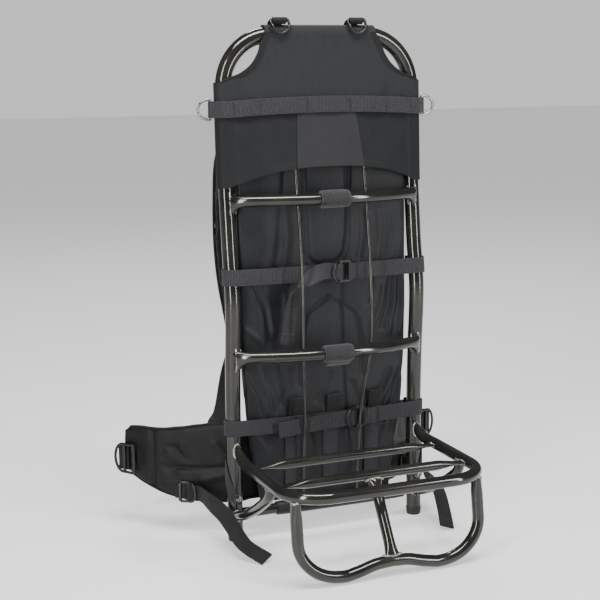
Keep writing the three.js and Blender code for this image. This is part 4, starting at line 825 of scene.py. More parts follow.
# Stand: loop under the shelf's front corners, its foot raised in the middle
LEG_X, STAND_R, FOOT_HALF = 146.5, 9, 72.5
corner_in = LEG_X - SHELF_HALF + SHELF_CORNER
stand_head = -SHELF_REACH + SHELF_CORNER - math.sqrt(SHELF_CORNER ** 2 - corner_in ** 2)
stand_top = float(shelf_top(stand_head)) - 4.5
x = FOOT_HALF * np.arange(12) / 11
foot = STAND_R + 13.4 * along(STAND_FOOT, 1, x / 101)
angle = (np.pi / 2) * np.arange(1, 13) / 12
bend = mix(foot[-1], STAND_R, np.minimum(np.arange(1, 13) / 4.5, 1)) + 58 * (1 - np.cos(angle))
x = np.concatenate([x, FOOT_HALF + 74 * np.sin(angle), np.full(5, LEG_X)])
z = np.concatenate([foot, bend, mix(67, stand_top, np.arange(1, 6) / 5)])
z = np.maximum(z, STAND_R)
depth = mix(-STAND_REACH, stand_head, np.clip((z - STAND_R) / (stand_top - STAND_R), 0, 1))
half_stand = columns(x, depth, z)
stand_path = smooth(np.vstack([mirrored(half_stand[1:]), half_stand]), 200)
pressed_tube("stand_tube", stand_path, Y, STAND_R, (10.8, 5.6), near_ends(stand_path, 32, 1.3),
             "stand_loop")
for sign in (-1, 1):
    turn = math.acos(corner_in / SHELF_CORNER)
    axis = (sign * math.sin(turn), -math.cos(turn), 0)
    line = saddle((sign * LEG_X, stand_head, stand_top - 14), Z, Y, 10.4, 6.2,
                  (sign * LEG_X, stand_head, stand_top + 4.5), axis, SHELF_R)
    welds.append(bead(line, 1.6, 0.25, 3.0))

slat_z = shelf_top(-SLAT_REACH)
head, foot = np.array([0, -SLAT_REACH, slat_z - 3.75]), np.array([0, -STAND_REACH, 26.9])
up = np.linspace(0, 1, 60)[:, None]
pressed_tube("strut_tube", mix(head, foot, up), X, 8.5, (14.5, 3.9), np.abs(2 * up[:, 0] - 1) ** 7,
             "stand_strut")
way = unit(foot - head)
line = saddle(head + way * 14, -way, X, 14, 4.4, (0, -SLAT_REACH, slat_z), X, SLAT_R)
welds.append(bead(line, 2.2, 0.28, 3.4))
line = saddle(foot - way * 12, way, X, 14, 4.4, (0, -STAND_REACH, 22.4), X, 9.0)
welds.append(bead(line, 1.7, 0.25, 3.2))

BRACE_REACH = 158
BRACE = np.array([(1, 1), (.95, .82), (.78, .6), (.53, .35), (.28, .14), (6 / BRACE_REACH, 0)])
for side, sign in SIDES:
    head = float(shelf_top(-BRACE_REACH)) - 4.5
    x = sign * mix(HOOP_HALF, SHELF_HALF - 2, BRACE[:, 0])
    line = smooth(columns(x, -BRACE_REACH * BRACE[:, 0], mix(42, head, BRACE[:, 1])), 80)
    piece(f"brace_tube_{side}", tube(line, 8.0, X, 24), TUBE, [f"shelf_brace_{side}"])
    upright, rail = (sign * HOOP_HALF, 0, 0), (sign * SHELF_HALF, -BRACE_REACH, head + 4.5)
    foot_weld = saddle(line[-8], line[-1] - line[-8], X, 8.2, 8.2, upright, Z, HOOP_R)
    head_weld = saddle(line[8], line[0] - line[8], X, 8.2, 8.2, rail, Y, SHELF_R)
    welds += [bead(foot_weld, 1.7), bead(head_weld, 1.5)]

piece("weld_beads", welds, WELD, sharp=60)

BOLT_FACE = -HOOP_R - WEB_WALL - 4 * GAP
WASHER = [(0.05, 0.1), (0.05, 5.6), (0.5, 6.0), (0.95, 5.8), (0.95, 0.1)]
BOLT = [(0.7, 0.1), (0.7, 4.3), (3.4, 4.5), (4.5, 4.0), (5.0, 3.0), (5.0, 2.2), (3.2, 1.9), (3.0, 0.1)]
for side, sign in SIDES:
    centre = (sign * HOOP_HALF, BOLT_FACE, 72)
    turned = [lathe(centre, -Y, WASHER, 28), lathe(centre, -Y, BOLT, 12)]
    piece(f"bolt_{side}", turned, STEEL, [f"strap_bolt_{side}"])


# ---------------------------------------------------------------- top panel

CREASES = [
    (-118, 702, -62, 640, 7, 1.1), (-140, 640, -96, 580, 8, 1.2), (120, 706, 70, 650, 8, -1.0),
    (138, 640, 100, 585, 8, 1.1), (-20, 762, -42, 700, 12, 0.9), (36, 760, 58, 705, 12, -0.8),
    (-104, 668, -80, 596, 10, -0.9), (96, 664, 76, 600, 10, -0.9), (0, 655, 6, 596, 16, 0.7),
]


def panel_relief(x, z):
    """Slight pull lines: each a rounded ridge along a short slanted line."""
    points = columns(x.ravel(), 0, z.ravel())
    total = 0.25 * np.sin(x.ravel() / 21) * np.sin(z.ravel() / 33 + 1)
    for x0, z0, x1, z1, width, height in CREASES:
        total = total + ridge(points, [(x0, z0), (x1, z1)], width, height)
    return total.reshape(x.shape)


def panel_point(s, z):
    """Panel surface. |s| up to the hoop's half width is x; past it s goes round the upright at
    SLEEVE_R, and past half a turn straight inwards behind it."""
    past = np.abs(s) - HOOP_HALF
    angle = np.clip(past / SLEEVE_R, 0, np.pi)
    inward = np.maximum(past - np.pi * SLEEVE_R, 0)
    x = np.sign(s) * (np.minimum(np.abs(s), HOOP_HALF) + SLEEVE_R * np.sin(angle) - inward)
    flat = np.clip(s, -HOOP_HALF, HOOP_HALF)
    y = panel_depth(flat, z) + SLEEVE_R * (1 - np.cos(angle))
    y = y - panel_relief(flat, z) * step(0, 14, HOOP_HALF - np.abs(s))
    return np.stack([x, y, z], -1)


NECK_HALF, FLAP = 92, 42.0


def neck_half(z):
    """Half width of the neck: from outside the uprights in to the top bar by its table."""
    up = (z - PANEL_SHOULDER) / (HOOP_HEIGHT - PANEL_SHOULDER)
    return mix(HOOP_HALF + 8, NECK_HALF, along(PANEL_NECK, 1, up))


S_MID = np.linspace(-1, 1, 101)
TURN = np.pi * SLEEVE_R
falls = np.array([14.0, 28, FLAP])
S_OUT = HOOP_HALF + np.concatenate([np.linspace(8, TURN, 12)[1:], TURN + falls])
s_row = np.concatenate([-S_OUT[::-1], S_MID * (HOOP_HALF + 8), S_OUT])
z = mix(hem_height(s_row)[None], PANEL_SHOULDER, np.linspace(0, 1, 44)[:, None])
front = panel_point(np.broadcast_to(s_row, z.shape), z)
z = np.linspace(PANEL_SHOULDER, HOOP_HEIGHT, 26)[:, None]
neck = panel_point(S_MID[None] * neck_half(z), np.broadcast_to(z, (26, 101)))
top = float(lean(HOOP_HEIGHT))
angle = np.linspace(0, np.pi, 13)[1:, None]
x = S_MID[None] * NECK_HALF
over = columns(x, top - SLEEVE_R * np.cos(angle), HOOP_HEIGHT + SLEEVE_R * np.sin(angle))
neck = np.concatenate([neck, over, columns(x, top + SLEEVE_R, HOOP_HEIGHT - falls[:, None])])
parts = [skin(front, around=False), skin(neck, around=False)]
panel = piece("cloth_panel", parts, PANEL, ["top_panel"], 80, True)
weld = panel.modifiers.new("joined", "WELD")
weld.merge_threshold = 0.0002
wall = panel.modifiers.new("wall", "SOLIDIFY")
wall.thickness, wall.offset = PANEL_WALL * MM, 0
baked(panel)
panel.data.shade_smooth()
panel.data.set_sharp_from_angle(angle=math.radians(60))


def on_front(x, z, proud):
    """Points just in front of the panel's cloth."""
    surface = panel_point(np.asarray(x, float), np.asarray(z, float))
    return surface - proud * Y


# Hem, side sleeves and the bound edges of the neck
ROUND_EDGE = np.array([
    (-8.5, -1.5), (-4.5, -1.75), (0.2, -1.6), (1.1, -0.8), (1.3, 0), (1.1, 0.8), (0.2, 1.6),
    (-4.5, 1.75), (-8.5, 1.5), (-8.6, 0.95), (-4, 1.0), (0, 0.9), (0, -0.9), (-4, -1.0), (-8.6, -0.95),
])
x = np.linspace(-HOOP_HALF, HOOP_HALF, 120)
rows, bound = [(on_front(x, hem_height(x) + 8.5, 0.95), -Y)], []
for sign in (-1, 1):
    z = np.linspace(PANEL_HEM + 2, PANEL_SHOULDER - 2, 50)
    rows += [(on_front(np.full(50, sign * at), z, 0.95), -Y) for at in (143.0, 146.0)]
    z = np.linspace(PANEL_SHOULDER - 0.5, HOOP_HEIGHT + 3, 70)
    edge = smooth(on_front(sign * neck_half(np.minimum(z, HOOP_HEIGHT)), z, 0.0), 90)
    _, outward, _ = frames(edge, sign * X)
    bound.append(skin(carried(edge, sign * X, ROUND_EDGE)))
    rows.append((edge - outward * 7.2 - 1.75 * Y, -Y))
piece("neck_binding", bound, BINDING)
thread("panel_stitching", rows, "panel")

# Centre patch with a turned hem at its foot
PATCH_FOOT, PATCH_HEAD, DAISY_Z = 56.0, 48.5, 674.0
t, s = np.linspace(0, 1, 40)[:, None], np.linspace(-1, 1, 41)[None]
x = s * mix(PATCH_FOOT, PATCH_HEAD, t)
z = mix(hem_height(x) + 0.6, DAISY_Z, t)
wall = 1 + 0.9 * (1 - step(8.5, 9.5, z - hem_height(x)))
grid = on_front(x, z, PANEL_WALL / 2 + 0.8)
patch = piece("patch_cloth", shell(grid, wall), PATCH, ["centre_patch"])
rows = []
z = np.linspace(588, 662, 40)
for sign in (-1, 1):
    x = sign * (mix(PATCH_FOOT, PATCH_HEAD, (z - 584) / 90) - 2.2)
    rows.append((on_front(x, z, 2.0), -Y))
x = np.linspace(-54, 54, 40)
rows.append((on_front(x, hem_height(x) + 9.6, 2.3), -Y))
thread("patch_stitching", rows, "patch")

# Daisy webbing over the panel, its ends folded round the side rings
RING_X = HOOP_HALF + SLEEVE_R + PANEL_WALL / 2 + 2 + WEB_WALL * 2 + 3 * GAP
RING_Y = float(lean(DAISY_Z))
DAISY_PROUD = PANEL_WALL / 2 + 2 * GAP + 1 + WEB_WALL / 2


def level_arc(cx, cy, cz, radius, start, end, count):
    angle = np.radians(np.linspace(start, end, count))
    return columns(cx + radius * np.cos(angle), cy + radius * np.sin(angle), cz)


def daisy_height(x):
    """Middle of the daisy tape, which bows up a little."""
    return DAISY_Z + 5.5 * (1 - (x / (HOOP_HALF - 2)) ** 2)


# Between its bar tacks the tape stands a little proud of the panel
x = np.linspace(-1, 1, 41) * (HOOP_HALF - 2)
z = daisy_height(x)
TACKS = np.array([-106.4, -32.9, 37.6, 102.9])
stops = np.concatenate([[-150], TACKS, [150]])
place = np.clip(np.searchsorted(stops, x) - 1, 0, len(stops) - 2)
share = np.clip((x - stops[place]) / (stops[place + 1] - stops[place]), 0, 1)
proud = DAISY_PROUD + 2.4 * np.sin(np.pi * share) ** 0.8
turn = np.vstack([level_arc(HOOP_HALF, RING_Y, DAISY_Z, SLEEVE_R + DAISY_PROUD, -60, -35, 4),
                  level_arc(RING_X, RING_Y, DAISY_Z, 3.2, -50, 165, 10)])
daisy = smooth(np.vstack([mirrored(turn), columns(x, panel_depth(x, z - 12.5) - proud, z), turn]), 230)
tape_piece("daisy_tape", daisy, WEB, WEBBING, "daisy_webbing", "stretched", ["cloth_panel"], across=Z)
rows = []
for at in [*TACKS, -147.0, 147.0]:
    z0 = daisy_height(at)
    face = float(panel_depth(at, z0 - 12.5)) - DAISY_PROUD - 0.95
    z = np.linspace(z0 - 10.8, z0 + 10.8, 12)
    rows += [(columns(at + shift, face, z), -Y) for shift in (-1.3, 0, 1.3)]
tacks = stitches(rows, 1.9, (1.1, 0.8, 0.8))
piece("daisy_tacks", tacks, TACK, open_sheet=True, sharp=80)


def ring_line(height, reach, wire, count=90):
    """D shape: a straight side, and half an ellipse away from it."""
    half, depth = (height - wire) / 2, reach - wire
    angle = np.linspace(0, np.pi, 15)
    u = np.concatenate([[-half * 0.94, -half * 0.4, half * 0.4, half * 0.94], half * np.cos(angle)])
    v = np.concatenate([[0, 0, 0, 0], depth * 0.12 + depth * 0.88 * np.sin(angle)])
    return smooth(columns(u, v, 0), count, True)


for side, sign in SIDES:
    flat = ring_line(34, 24, 4)
    line = columns(sign * (RING_X + flat[:, 1]), RING_Y, DAISY_Z + flat[:, 0])
    piece(f"d_ring_{side}", tube(line, 2.0, Y, 14, True), STEEL, [f"side_ring_{side}"])

# Lash loops over the top bar and the rings that hang from them
LASH_Y, LASH_Z = top - 24 * 0.45, HOOP_HEIGHT + SLEEVE_R + 13 - 2 * WEB_WALL - 2
rows = []
for side, sign in SIDES:
    x = -4 + sign * 64.0
    seat = SLEEVE_R + PANEL_WALL + GAP + 0.5 + WEB_WALL / 2
    a = np.radians([-110, -95, -80, -65, -50, -35, -20])
    radius = seat + np.array([0, 0, 0, 0, 0, 1.2, 3])
    over = columns(x, top - radius * np.sin(a), HOOP_HEIGHT + radius * np.cos(a))
    a = np.radians(np.linspace(-20, 200, 8))
    round_ring = columns(x, LASH_Y - 3.3 * np.sin(a), LASH_Z + 3.3 * np.cos(a))
    a = np.radians([22])
    end = columns(x, top - seat * np.sin(a), HOOP_HEIGHT + seat * np.cos(a))
    line = smooth(np.vstack([over, round_ring, end]), 70)
    tape_piece(f"lash_tape_{side}", line, 24.0, DARK_WEBBING, f"lash_loop_{side}", "folded",
               ["cloth_panel"], across=X)
    flat = ring_line(33, 24, 4)
    face = float(panel_depth(x, HOOP_HEIGHT)) - 0.8 - 1 - 2
    depth = mix(LASH_Y, min(face, LASH_Y) - 1, step(0, 12, flat[:, 1]))
    line = columns(x + flat[:, 0], depth, LASH_Z - flat[:, 1])
    wire = tube(line, 2.1, Y, 14, True)
    piece(f"lash_wire_{side}", wire, PLASTIC, [f"lash_ring_{side}"])
    for a in np.radians([-72.0, -84.0]):
        out = np.array([0, -math.sin(a), math.cos(a)])
        row = columns(np.linspace(x - 9.5, x + 9.5, 8), top, HOOP_HEIGHT) + (seat + 0.9) * out
        rows.append((row, out))
thread("lash_stitching", rows, "webbing", pitch=2.4)


# ---------------------------------------------------------------- wraps on the bars

def wrapped(path, inner, wall, seed):
    """Tape wound round a bar: its outside spirals out by a fifth of the wall, and ripples."""
    count, sides = len(path), 44
    angle = np.linspace(0, 2 * np.pi, sides, endpoint=False)
    draw = np.random.default_rng(seed).normal(0, 1, (5, 3))
    s = np.linspace(0, 1, count)[:, None]
    ripple = sum(0.16 * a * np.sin(k * angle + 4 * b * s + c) for k, (a, b, c) in enumerate(draw, 1))
    ends = 1 - 0.35 * (2 * s - 1) ** 10
    lip = 0.24 * wall * step(0, 0.5, np.mod(angle + 2.2, 2 * np.pi) / (2 * np.pi))
    outer = inner + wall * ends + (lip + ripple) * ends
    cs = np.stack([np.cos(angle), np.sin(angle)], -1)
    out = carried(path, Z, outer[..., None] * cs)
    within = carried(path, Z, np.broadcast_to((inner * cs)[None], (count, sides, 2)))
    return skin(np.concatenate([out, within[::-1]]), closed=True)


for label, (height, bow) in BARS.items():
    line, _ = crossbar_path(height, bow, 400)
    run = arc_length(line)
    path = read_at(run, line, run[-1] / 2 - 3 + np.linspace(-0.5, 0.5, 22) * 47)
    skins = [wrapped(path, BAR_R + GAP, 4.0, seed=len(label))]
    if label == "lower":
        fall = np.array([(0, -8.5, -6.5), (0, -4.0, -13.0), (0, 2.0, -17.5), (0, 8.0, -20.0)])
        skins.append(strap(smooth(fall + path[11], 14), 40.0, 1.6, across=X, crown=0.6))
    piece(f"bar_tape_{label}", skins, FELT, [f"{label}_bar_wrap"])


# ---------------------------------------------------------------- back pad

PAD_HALF, PAD_THICK = 144.0, 13


def pad_body():
    """Rings of a superellipse up the pad; half width and thickness from PAD_LINE."""
    up = np.concatenate([[0, .01, .02, .035], np.linspace(.05, .95, 50), [.965, .98, .99, 1]])
    half = PAD_HALF * along(PAD_LINE, 1, up) - 1
    thick = PAD_THICK * along(PAD_LINE, 2, up) - 1.2
    angle = 2 * np.pi * (np.arange(72) + 0.5) / 72
    c, s = np.cos(angle), np.sin(angle)
    x = half[:, None] * np.sign(c) * np.abs(c) ** 0.6
    y = PAD_MID + thick[:, None] * np.sign(s) * np.abs(s) ** 0.35
    return skin(columns(x, y, mix(PAD_FOOT + 1, PAD_TOP - 1, up)[:, None]))


PIPING = {
    "left": [(-37, 640), (-37, 579), (-36, 520), (-35, 470), (-31, 445), (-20, 433), (-9, 430)],
    "right": [(36, 640), (37, 579), (37, 520), (37, 480), (33, 450), (20, 434), (8, 430)],
    "arch_left": [(4, 378), (-12, 368), (-34, 353), (-40, 330), (-43, 300), (-44, 240)],
    "arch_right": [(4, 378), (24, 366), (46, 352), (55, 335), (60, 310), (62, 250)],
}
PAD_FOLDS = [
    (-67, 520, -70, 432, 7, -2.6), (64, 512, 58, 440, 6, -2.4), (92, 510, 88, 432, 6, 1.8),
    (130, 515, 126, 430, 6, 1.6), (-100, 520, -104, 430, 9, 1.2), (112, 500, 108, 440, 5, -1.6),
    (-131, 416, -104, 300, 4.5, 2.8), (-121, 412, -95, 322, 4.0, -3.0),
    (-112, 414, -90, 330, 4.5, 2.2), (-138, 338, -106, 312, 4, 2.2), (-77, 388, -88, 306, 5, -2.6),
    (-66, 380, -74, 312, 4, 1.4), (122, 398, 110, 312, 4.5, 2.6), (113, 400, 97, 322, 4, -2.8),
    (101, 390, 80, 326, 4, 2.0), (137, 395, 129, 312, 4, 2.2), (80, 418, 71, 364, 4, -2.0),
    (130, 398, 119, 330, 3.5, -2.0), (-141, 266, -110, 182, 5, 2.8),
    (-131, 270, -102, 188, 4, -2.8), (-119, 272, -92, 186, 4.5, 2.4), (-65, 268, -78, 214, 5, -2.2),
    (-108, 270, -86, 204, 3.5, -1.8), (122, 250, 78, 184, 4.5, 2.4), (110, 250, 72, 196, 4, -2.4),
    (136, 234, 114, 154, 4.5, 2.6), (126, 240, 100, 168, 4, -2.4), (44, 236, 58, 168, 4.5, -2.2),
    (5, 255, -17, 214, 5, -1.8), (-138, 178, -100, 136, 4, 2.2), (-113, 164, -80, 128, 4, -2.2),
    (103, 162, 83, 106, 4, 2.2), (133, 168, 114, 114, 4, -2.4), (30, 160, 44, 100, 5, 1.8),
    (-32, 168, -24, 96, 4, -2.0),
]


def pad_seams(p):
    """Held while the pad swells: its outer edge, the piping and the arch."""
    near = np.zeros(len(p), bool)
    for line in PIPING.values():
        near |= ridge(p, line, 5.0, 1.0) > 0.36
    half = PAD_HALF * along(PAD_LINE, 1, (p[:, 2] - PAD_FOOT) / (PAD_TOP - PAD_FOOT))
    return near | (np.abs(p[:, 0]) > half - 7) | (p[:, 2] < PAD_FOOT + 10) | (p[:, 2] > PAD_TOP - 8)


def pad_shape(p):
    """Folds and seams pushed into the load side, and the pad kept between the uprights."""
    load = 1 - step(PAD_MID - 6, PAD_MID + 2, p[:, 1])
    push = np.zeros(len(p))
    for x0, z0, x1, z1, width, height in PAD_FOLDS:
        middle = ((x0 + x1) / 2 + 0.06 * (z0 - z1), (z0 + z1) / 2)
        push += ridge(p, [(x0, z0), middle, (x1, z1)], width, height)
    for line in PIPING.values():
        push += ridge(p, line, 3.2, -3.0) + ridge(p, np.array(line) + (5, 0), 3.0, 0.9)
    rough = 0.4 * np.sin(p[:, 0] / 7 - p[:, 2] / 60) * step(60, 110, np.abs(p[:, 0]))
    push += 0.5 * np.sin(p[:, 0] / 17 + p[:, 2] / 90) + rough
    p = p.copy()
    p[:, 1] = np.maximum(p[:, 1] - push * load, -11.2)
    p[:, 0] = np.clip(p[:, 0], -145.2, 145.2)
    p[:, 2] = np.clip(p[:, 2], PAD_FOOT - 3, PAD_TOP + 3)
    near_bar = np.hypot(p[:, 1], p[:, 2] - BOTTOM_Z)
    push_out = np.maximum(12.6 / np.maximum(near_bar, 1e-6), 1)
    p[:, 1] *= push_out
    p[:, 2] = BOTTOM_Z + (p[:, 2] - BOTTOM_Z) * push_out
    return p


back_pad = stuffed("pad_cushion", pad_body(), PAD, ["back_pad"], pad_seams, pad_shape,
                   5.0, 5.0, 4.0)
rows = []
for line in PIPING.values():
    flat = smooth(np.array([(x, -7, z) for x, z in line]), 60)
    rows.append((onto(back_pad, flat + (3.0, 0, 0), Y, 0.25), -Y))
thread("pad_stitching", rows, "pad", pitch=3.2)

# Cloth sleeve round the bottom bar
path = columns(np.linspace(-88, 136, 60), 0, BOTTOM_Z)
piece("bar_sleeve", wrapped(path, 8.9, 2.2, seed=4), PAD, ["bottom_bar_sleeve"])


def pad_face(z):
    """Depth of the CAD pad's load side."""
    up = (np.asarray(z, float) - PAD_FOOT) / (PAD_TOP - PAD_FOOT)
    return PAD_MID - PAD_THICK * along(PAD_LINE, 2, up)


# Tabs with a stiff rolled top, and the ladder webbing under them
rows = []
TAB = np.array([(192.0, 192, 2.2), (199, 199, 3.6), (207, 207, 5.0), (215, 215, 6.6), (221, 221, 7.8),
                (223, 221, 6.2), (221.5, 221, 4.4)])
for side, x, tilt in (("left", -56.0, 0.02), ("middle", 9.0, 0.12), ("right", 82.0, 0.05)):
    line = smooth(columns(x, pad_face(TAB[:, 1]) - TAB[:, 2], TAB[:, 0]), 26)
    tape_piece(f"tab_{side}", line, 24.0, DARK_WEBBING, f"pad_tab_{side}", "folded",
               ["pad_cushion"], across=(1, 0, tilt))
    z = np.linspace(70, 170, 40)
    guide = columns(x - 6, pad_face(z) - 1.4, z)
    hit = np.pad(onto(back_pad, guide, Y, 1.1)[:, 1], 4, mode="edge")
    guide[:, 1] = np.minimum(guide[:, 1], np.convolve(hit, np.ones(9) / 9, "valid"))
    tape_piece(f"ladder_{side}", guide, WEB, WEBBING, f"pad_ladder_{side}", "laid",
               ["pad_cushion"], across=X, hems=(True, True))
    rows += [(guide + (shift, -1.15, 0), -Y) for shift in (-10.2, 10.2)]
thread("ladder_stitching", rows, "webbing", pitch=3.0, size=(1.1, 0.5, 0.45))


# ---------------------------------------------------------------- buckles

def buckle(centre, length, webbing, long_way, face, wall=3.2, rim=4.2, lift=0.0):
    """Ladder buckle: a D outline with a flat section, a middle bar, and a ribbed bar at its
    straight side. long_way points from the bow to the straight side; the bow is lifted towards
    face, so that webbing passes under it."""
    long_way, out = unit(long_way), unit(face)
    half, bow, far = webbing / 2 + 1 + rim / 2, length * 0.42, length / 2 - rim / 2
    angle = np.linspace(np.pi / 2, 1.5 * np.pi, 17)
    edge = np.array([-0.1 * length, 0.2 * length, length / 2 - rim * 1.2])
    corner = half - rim * 0.6
    u = np.concatenate([edge, np.full(5, far), edge[::-1],
                        -length / 2 + bow + (bow - rim / 2) * np.cos(angle)])
    v = np.concatenate([[-half] * 3, [-corner, -half * 0.5, 0, half * 0.5, corner], [half] * 3,
                        half * np.sin(angle)])

    def to(a, b):
        return np.asarray(centre, float) + np.multiply.outer(a, long_way) + np.multiply.outer(b, Z)

    outline = smooth(to(u, v), 120, True)
    rise = lift * (1 - step(-0.42 * length, -0.02 * length, (outline - centre) @ long_way))
    outline = outline + rise[:, None] * out
    rim_section = squarish(wall / 2, rim / 2, 0.6, 16)
    skins = [skin(carried(outline, out, rim_section, True), closed=True)]
    b = np.linspace(-half + rim * 0.3, half - rim * 0.3, 40)
    ribs = 1 + 0.1 * np.cos(b * 2 * np.pi / 2.4)
    for at, wide, high, ribbed in ((0.0, 0.62, 0.62, 1), (length / 2 - rim * 0.55, 0.7, 0.68, ribs)):
        section = squarish(wall * high * ribbed, rim * wide * ribbed, 0.6, 16)
        skins.append(skin(carried(to(np.full(40, at), b), out, section)))
    return skins


BUCKLE_L, FOLD = 36.0, 1.5 + 2 * GAP + WEB_WALL / 2


def turned_points(points, way):
    """Points with the direction across the webbing beside each."""
    points = np.atleast_2d(points)
    return np.hstack([points, np.broadcast_to(way, (len(points), 3))])


def cross_strap(label, height, sag, buckle_x, tail):
    """Two webbings round the uprights, joined by a ladder buckle; the left one goes on as a tail."""
    wrap = (HOOP_R + 2 * GAP) / math.cos(math.pi / 12) + WEB_WALL / 2
    centre = float(lean(height))
    y, z = centre - wrap, height - sag
    depth = y - FOLD
    slope = unit([0, float(lean(height + 1) - lean(height - 1)), 2])
    around = np.vstack([[HOOP_HALF - 11, centre + wrap, height],
                        level_arc(HOOP_HALF, centre, height, wrap, 90, -90, 13)])
    bar = buckle_x + BUCKLE_L / 2 - 1.3
    halfway = mix(height, z, 0.5)
    right = [
        turned_points(around, slope),
        turned_points([(mix(HOOP_HALF, bar, 0.3), y - 0.6, halfway), (bar + 3, y, z)], Z),
        turned_points(level_arc(bar, depth, z, FOLD, 90, 270, 9), Z),
        turned_points((bar + BUCKLE_L * 0.55, depth - FOLD, z), Z),
    ]
    left = [
        turned_points(around * (-1, 1, 1), slope),
        turned_points([(mix(-HOOP_HALF, buckle_x, 0.3), y - 0.8, halfway - 0.5),
                       (buckle_x - 3, y, z)], Z),
        turned_points(level_arc(buckle_x, depth, z, FOLD, 90, -90, 9), Z),
        tail * (1, -1, 1, 1, 1, 1) + (buckle_x, depth - FOLD, z, 0, 0, 0),
    ]
    for side, points in (("left", left), ("right", right)):
        tape_piece(f"{label}_tape_{side}", smooth(np.vstack(points), 260), WEB, WEBBING,
                   f"{label}_strap_{side}", "hung", ["hoop_tube", f"{label}_ladder_lock"],
                   hems=(True, True))
    lock = buckle((buckle_x, depth, z), BUCKLE_L, WEB, X, -Y, lift=6.8)
    piece(f"{label}_ladder_lock", lock, PLASTIC, [f"{label}_strap_buckle"])


# Tails: place from the buckle, forwards and up, and the direction across the webbing
DROP = 106.0
UPPER_TAIL = np.array([
    (-12, .4, .01, 0, 0, 1), (-22, 1.5, .03, 0, 0, 1), (-34, 4, .03, 0, .25, .97),
    (-48, 6, -.01, .15, .5, .85), (-62, 6.5, -.08, .38, .5, .72), (-74, 6.5, -.17, .65, .5, .5),
    (-82, 6.5, -.28, .8, .48, .25), (-86, 6.5, -.41, .9, .38, .12), (-89, 6.5, -.56, .95, .3, 0),
    (-92, 5.5, -.76, .95, .28, 0), (-96, 4.5, -1, .95, .25, 0),
]) * (1, 1, DROP, 1, 1, 1)
LOWER_TAIL = np.array([
    (-14.6, .3, 0, 0, 0, 1), (-48.8, .8, -1, 0, 0, 1), (-91.5, 1.6, -3.5, 0, 0, 1),
    (-134.2, 4, -6, 0, 0, 1),
])
cross_strap("upper", 421.0, 1.0, 18.0, UPPER_TAIL)
cross_strap("lower", 184.0, 2.0, 43.0, LOWER_TAIL)


# ---------------------------------------------------------------- hip belt

BELT_RIGHT, BELT_LEFT, BELT_THICK = 248.0, 290.0, 14


def belt_at(s):
    """Middle line of the belt at a share of its half width, with its foot, top and thickness."""
    s = np.asarray(s, float)
    place = np.abs(s)
    half = np.where(s > 0, BELT_RIGHT, BELT_LEFT)
    deep = 158 + (np.where(s > 0, 178.0, 158.0) - 158) * place
    foot, high = (50 + 138 * along(BELT_LINE, k, place) for k in (2, 3))
    point = columns(s * half, deep * along(BELT_LINE, 1, place), 0)
    return point, foot, high, BELT_THICK * along(BELT_LINE, 4, place)


def outwards(heading, sign):
    """Level direction away from the belt's inside, at right angles to a heading along it."""
    return np.array([heading[1] * sign, -heading[0] * sign, 0])


def belt_body():
    """A band of superellipse sections along the belt's line."""
    s = np.concatenate([-np.linspace(1, 0, 90) ** 0.8, np.linspace(0, 1, 90)[1:] ** 0.8])
    point, low, high, thick = belt_at(s)
    point[:, 2] = (low + high) / 2
    return skin(carried(point, Z, squarish((high - low) / 2 - 1, thick / 2 - 0.8, 0.5, 40)))


def belt_share(p):
    """Share along the belt, and share of its height, of each point."""
    s = np.where(p[:, 0] > 0, p[:, 0] / BELT_RIGHT, p[:, 0] / BELT_LEFT)
    _, low, high, _ = belt_at(np.clip(s, -1, 1))
    return s, (p[:, 2] - low) / (high - low)


def belt_seams(p):
    """Held while the belt swells: its edges, its tips and its sewn lines."""
    s, up = belt_share(p)
    held = (up < 0.07) | (up > 0.93) | (np.abs(s) > 0.985) | (np.abs(np.abs(s) - 0.89) < 0.012)
    return held | (np.abs(up - 0.43) < 0.03) & (np.abs(s) > 0.5) & (np.abs(s) < 0.8)


BELT_FOLDS = [
    (-.82, .62, -.745, .5, .03, 2.2), (-.80, .72, -.735, .52, .022, -2.0),
    (-.765, .78, -.73, .5, .02, 1.8), (-.82, .40, -.75, .46, .025, -1.6),
    (-.88, .9, -.86, .5, .02, 1.0), (-.93, .72, -.95, .3, .02, -1.2),
    (-.66, .3, -.56, .36, .03, 1.6), (-.60, .75, -.53, .55, .02, 1.2),
    (-.78, .2, -.70, .12, .025, 1.2),
]


def belt_shape(p):
    """Folds that run to the stay point and sewn creases, on the belt's outer face."""
    s, up = belt_share(p)
    flat = np.stack([-np.abs(s), 0 * s, up], 1) * (1, 1, 0.62)
    push = np.zeros(len(p))
    for s0, u0, s1, u1, width, height in BELT_FOLDS:
        push += ridge(flat, [(s0, u0 * 0.62), (s1, u1 * 0.62)], width, 1.5 * height)
    push += ridge(flat, [(-0.89, 0), (-0.89, 0.62)], 0.011, -3.4)
    push += ridge(flat, [(-0.78, 0.27), (-0.5, 0.275)], 0.018, -3.4)
    push += 0.5 * np.sin(s * 60 + up * 9) * step(0.3, 0.6, np.abs(s))
    point, ahead = (belt_at(np.clip(s, -1, 1) * share)[0] for share in (1, 0.995))
    way = unit(ahead - point + (1e-6, 0, 0))
    normal = columns(way[:, 1], -way[:, 0], 0)
    normal = np.where((normal[:, 1] > 0)[:, None], -normal, normal)
    outer = step(-1.5, 1.5, ((p - point) * normal)[:, :2].sum(1))
    return p + normal * (push * outer * step(0.28, 0.45, np.abs(s)))[:, None]


belt = stuffed("belt_cushion", belt_body(), BELT, ["hip_belt"], belt_seams, belt_shape,
               4.5, 3.2, 3.0)


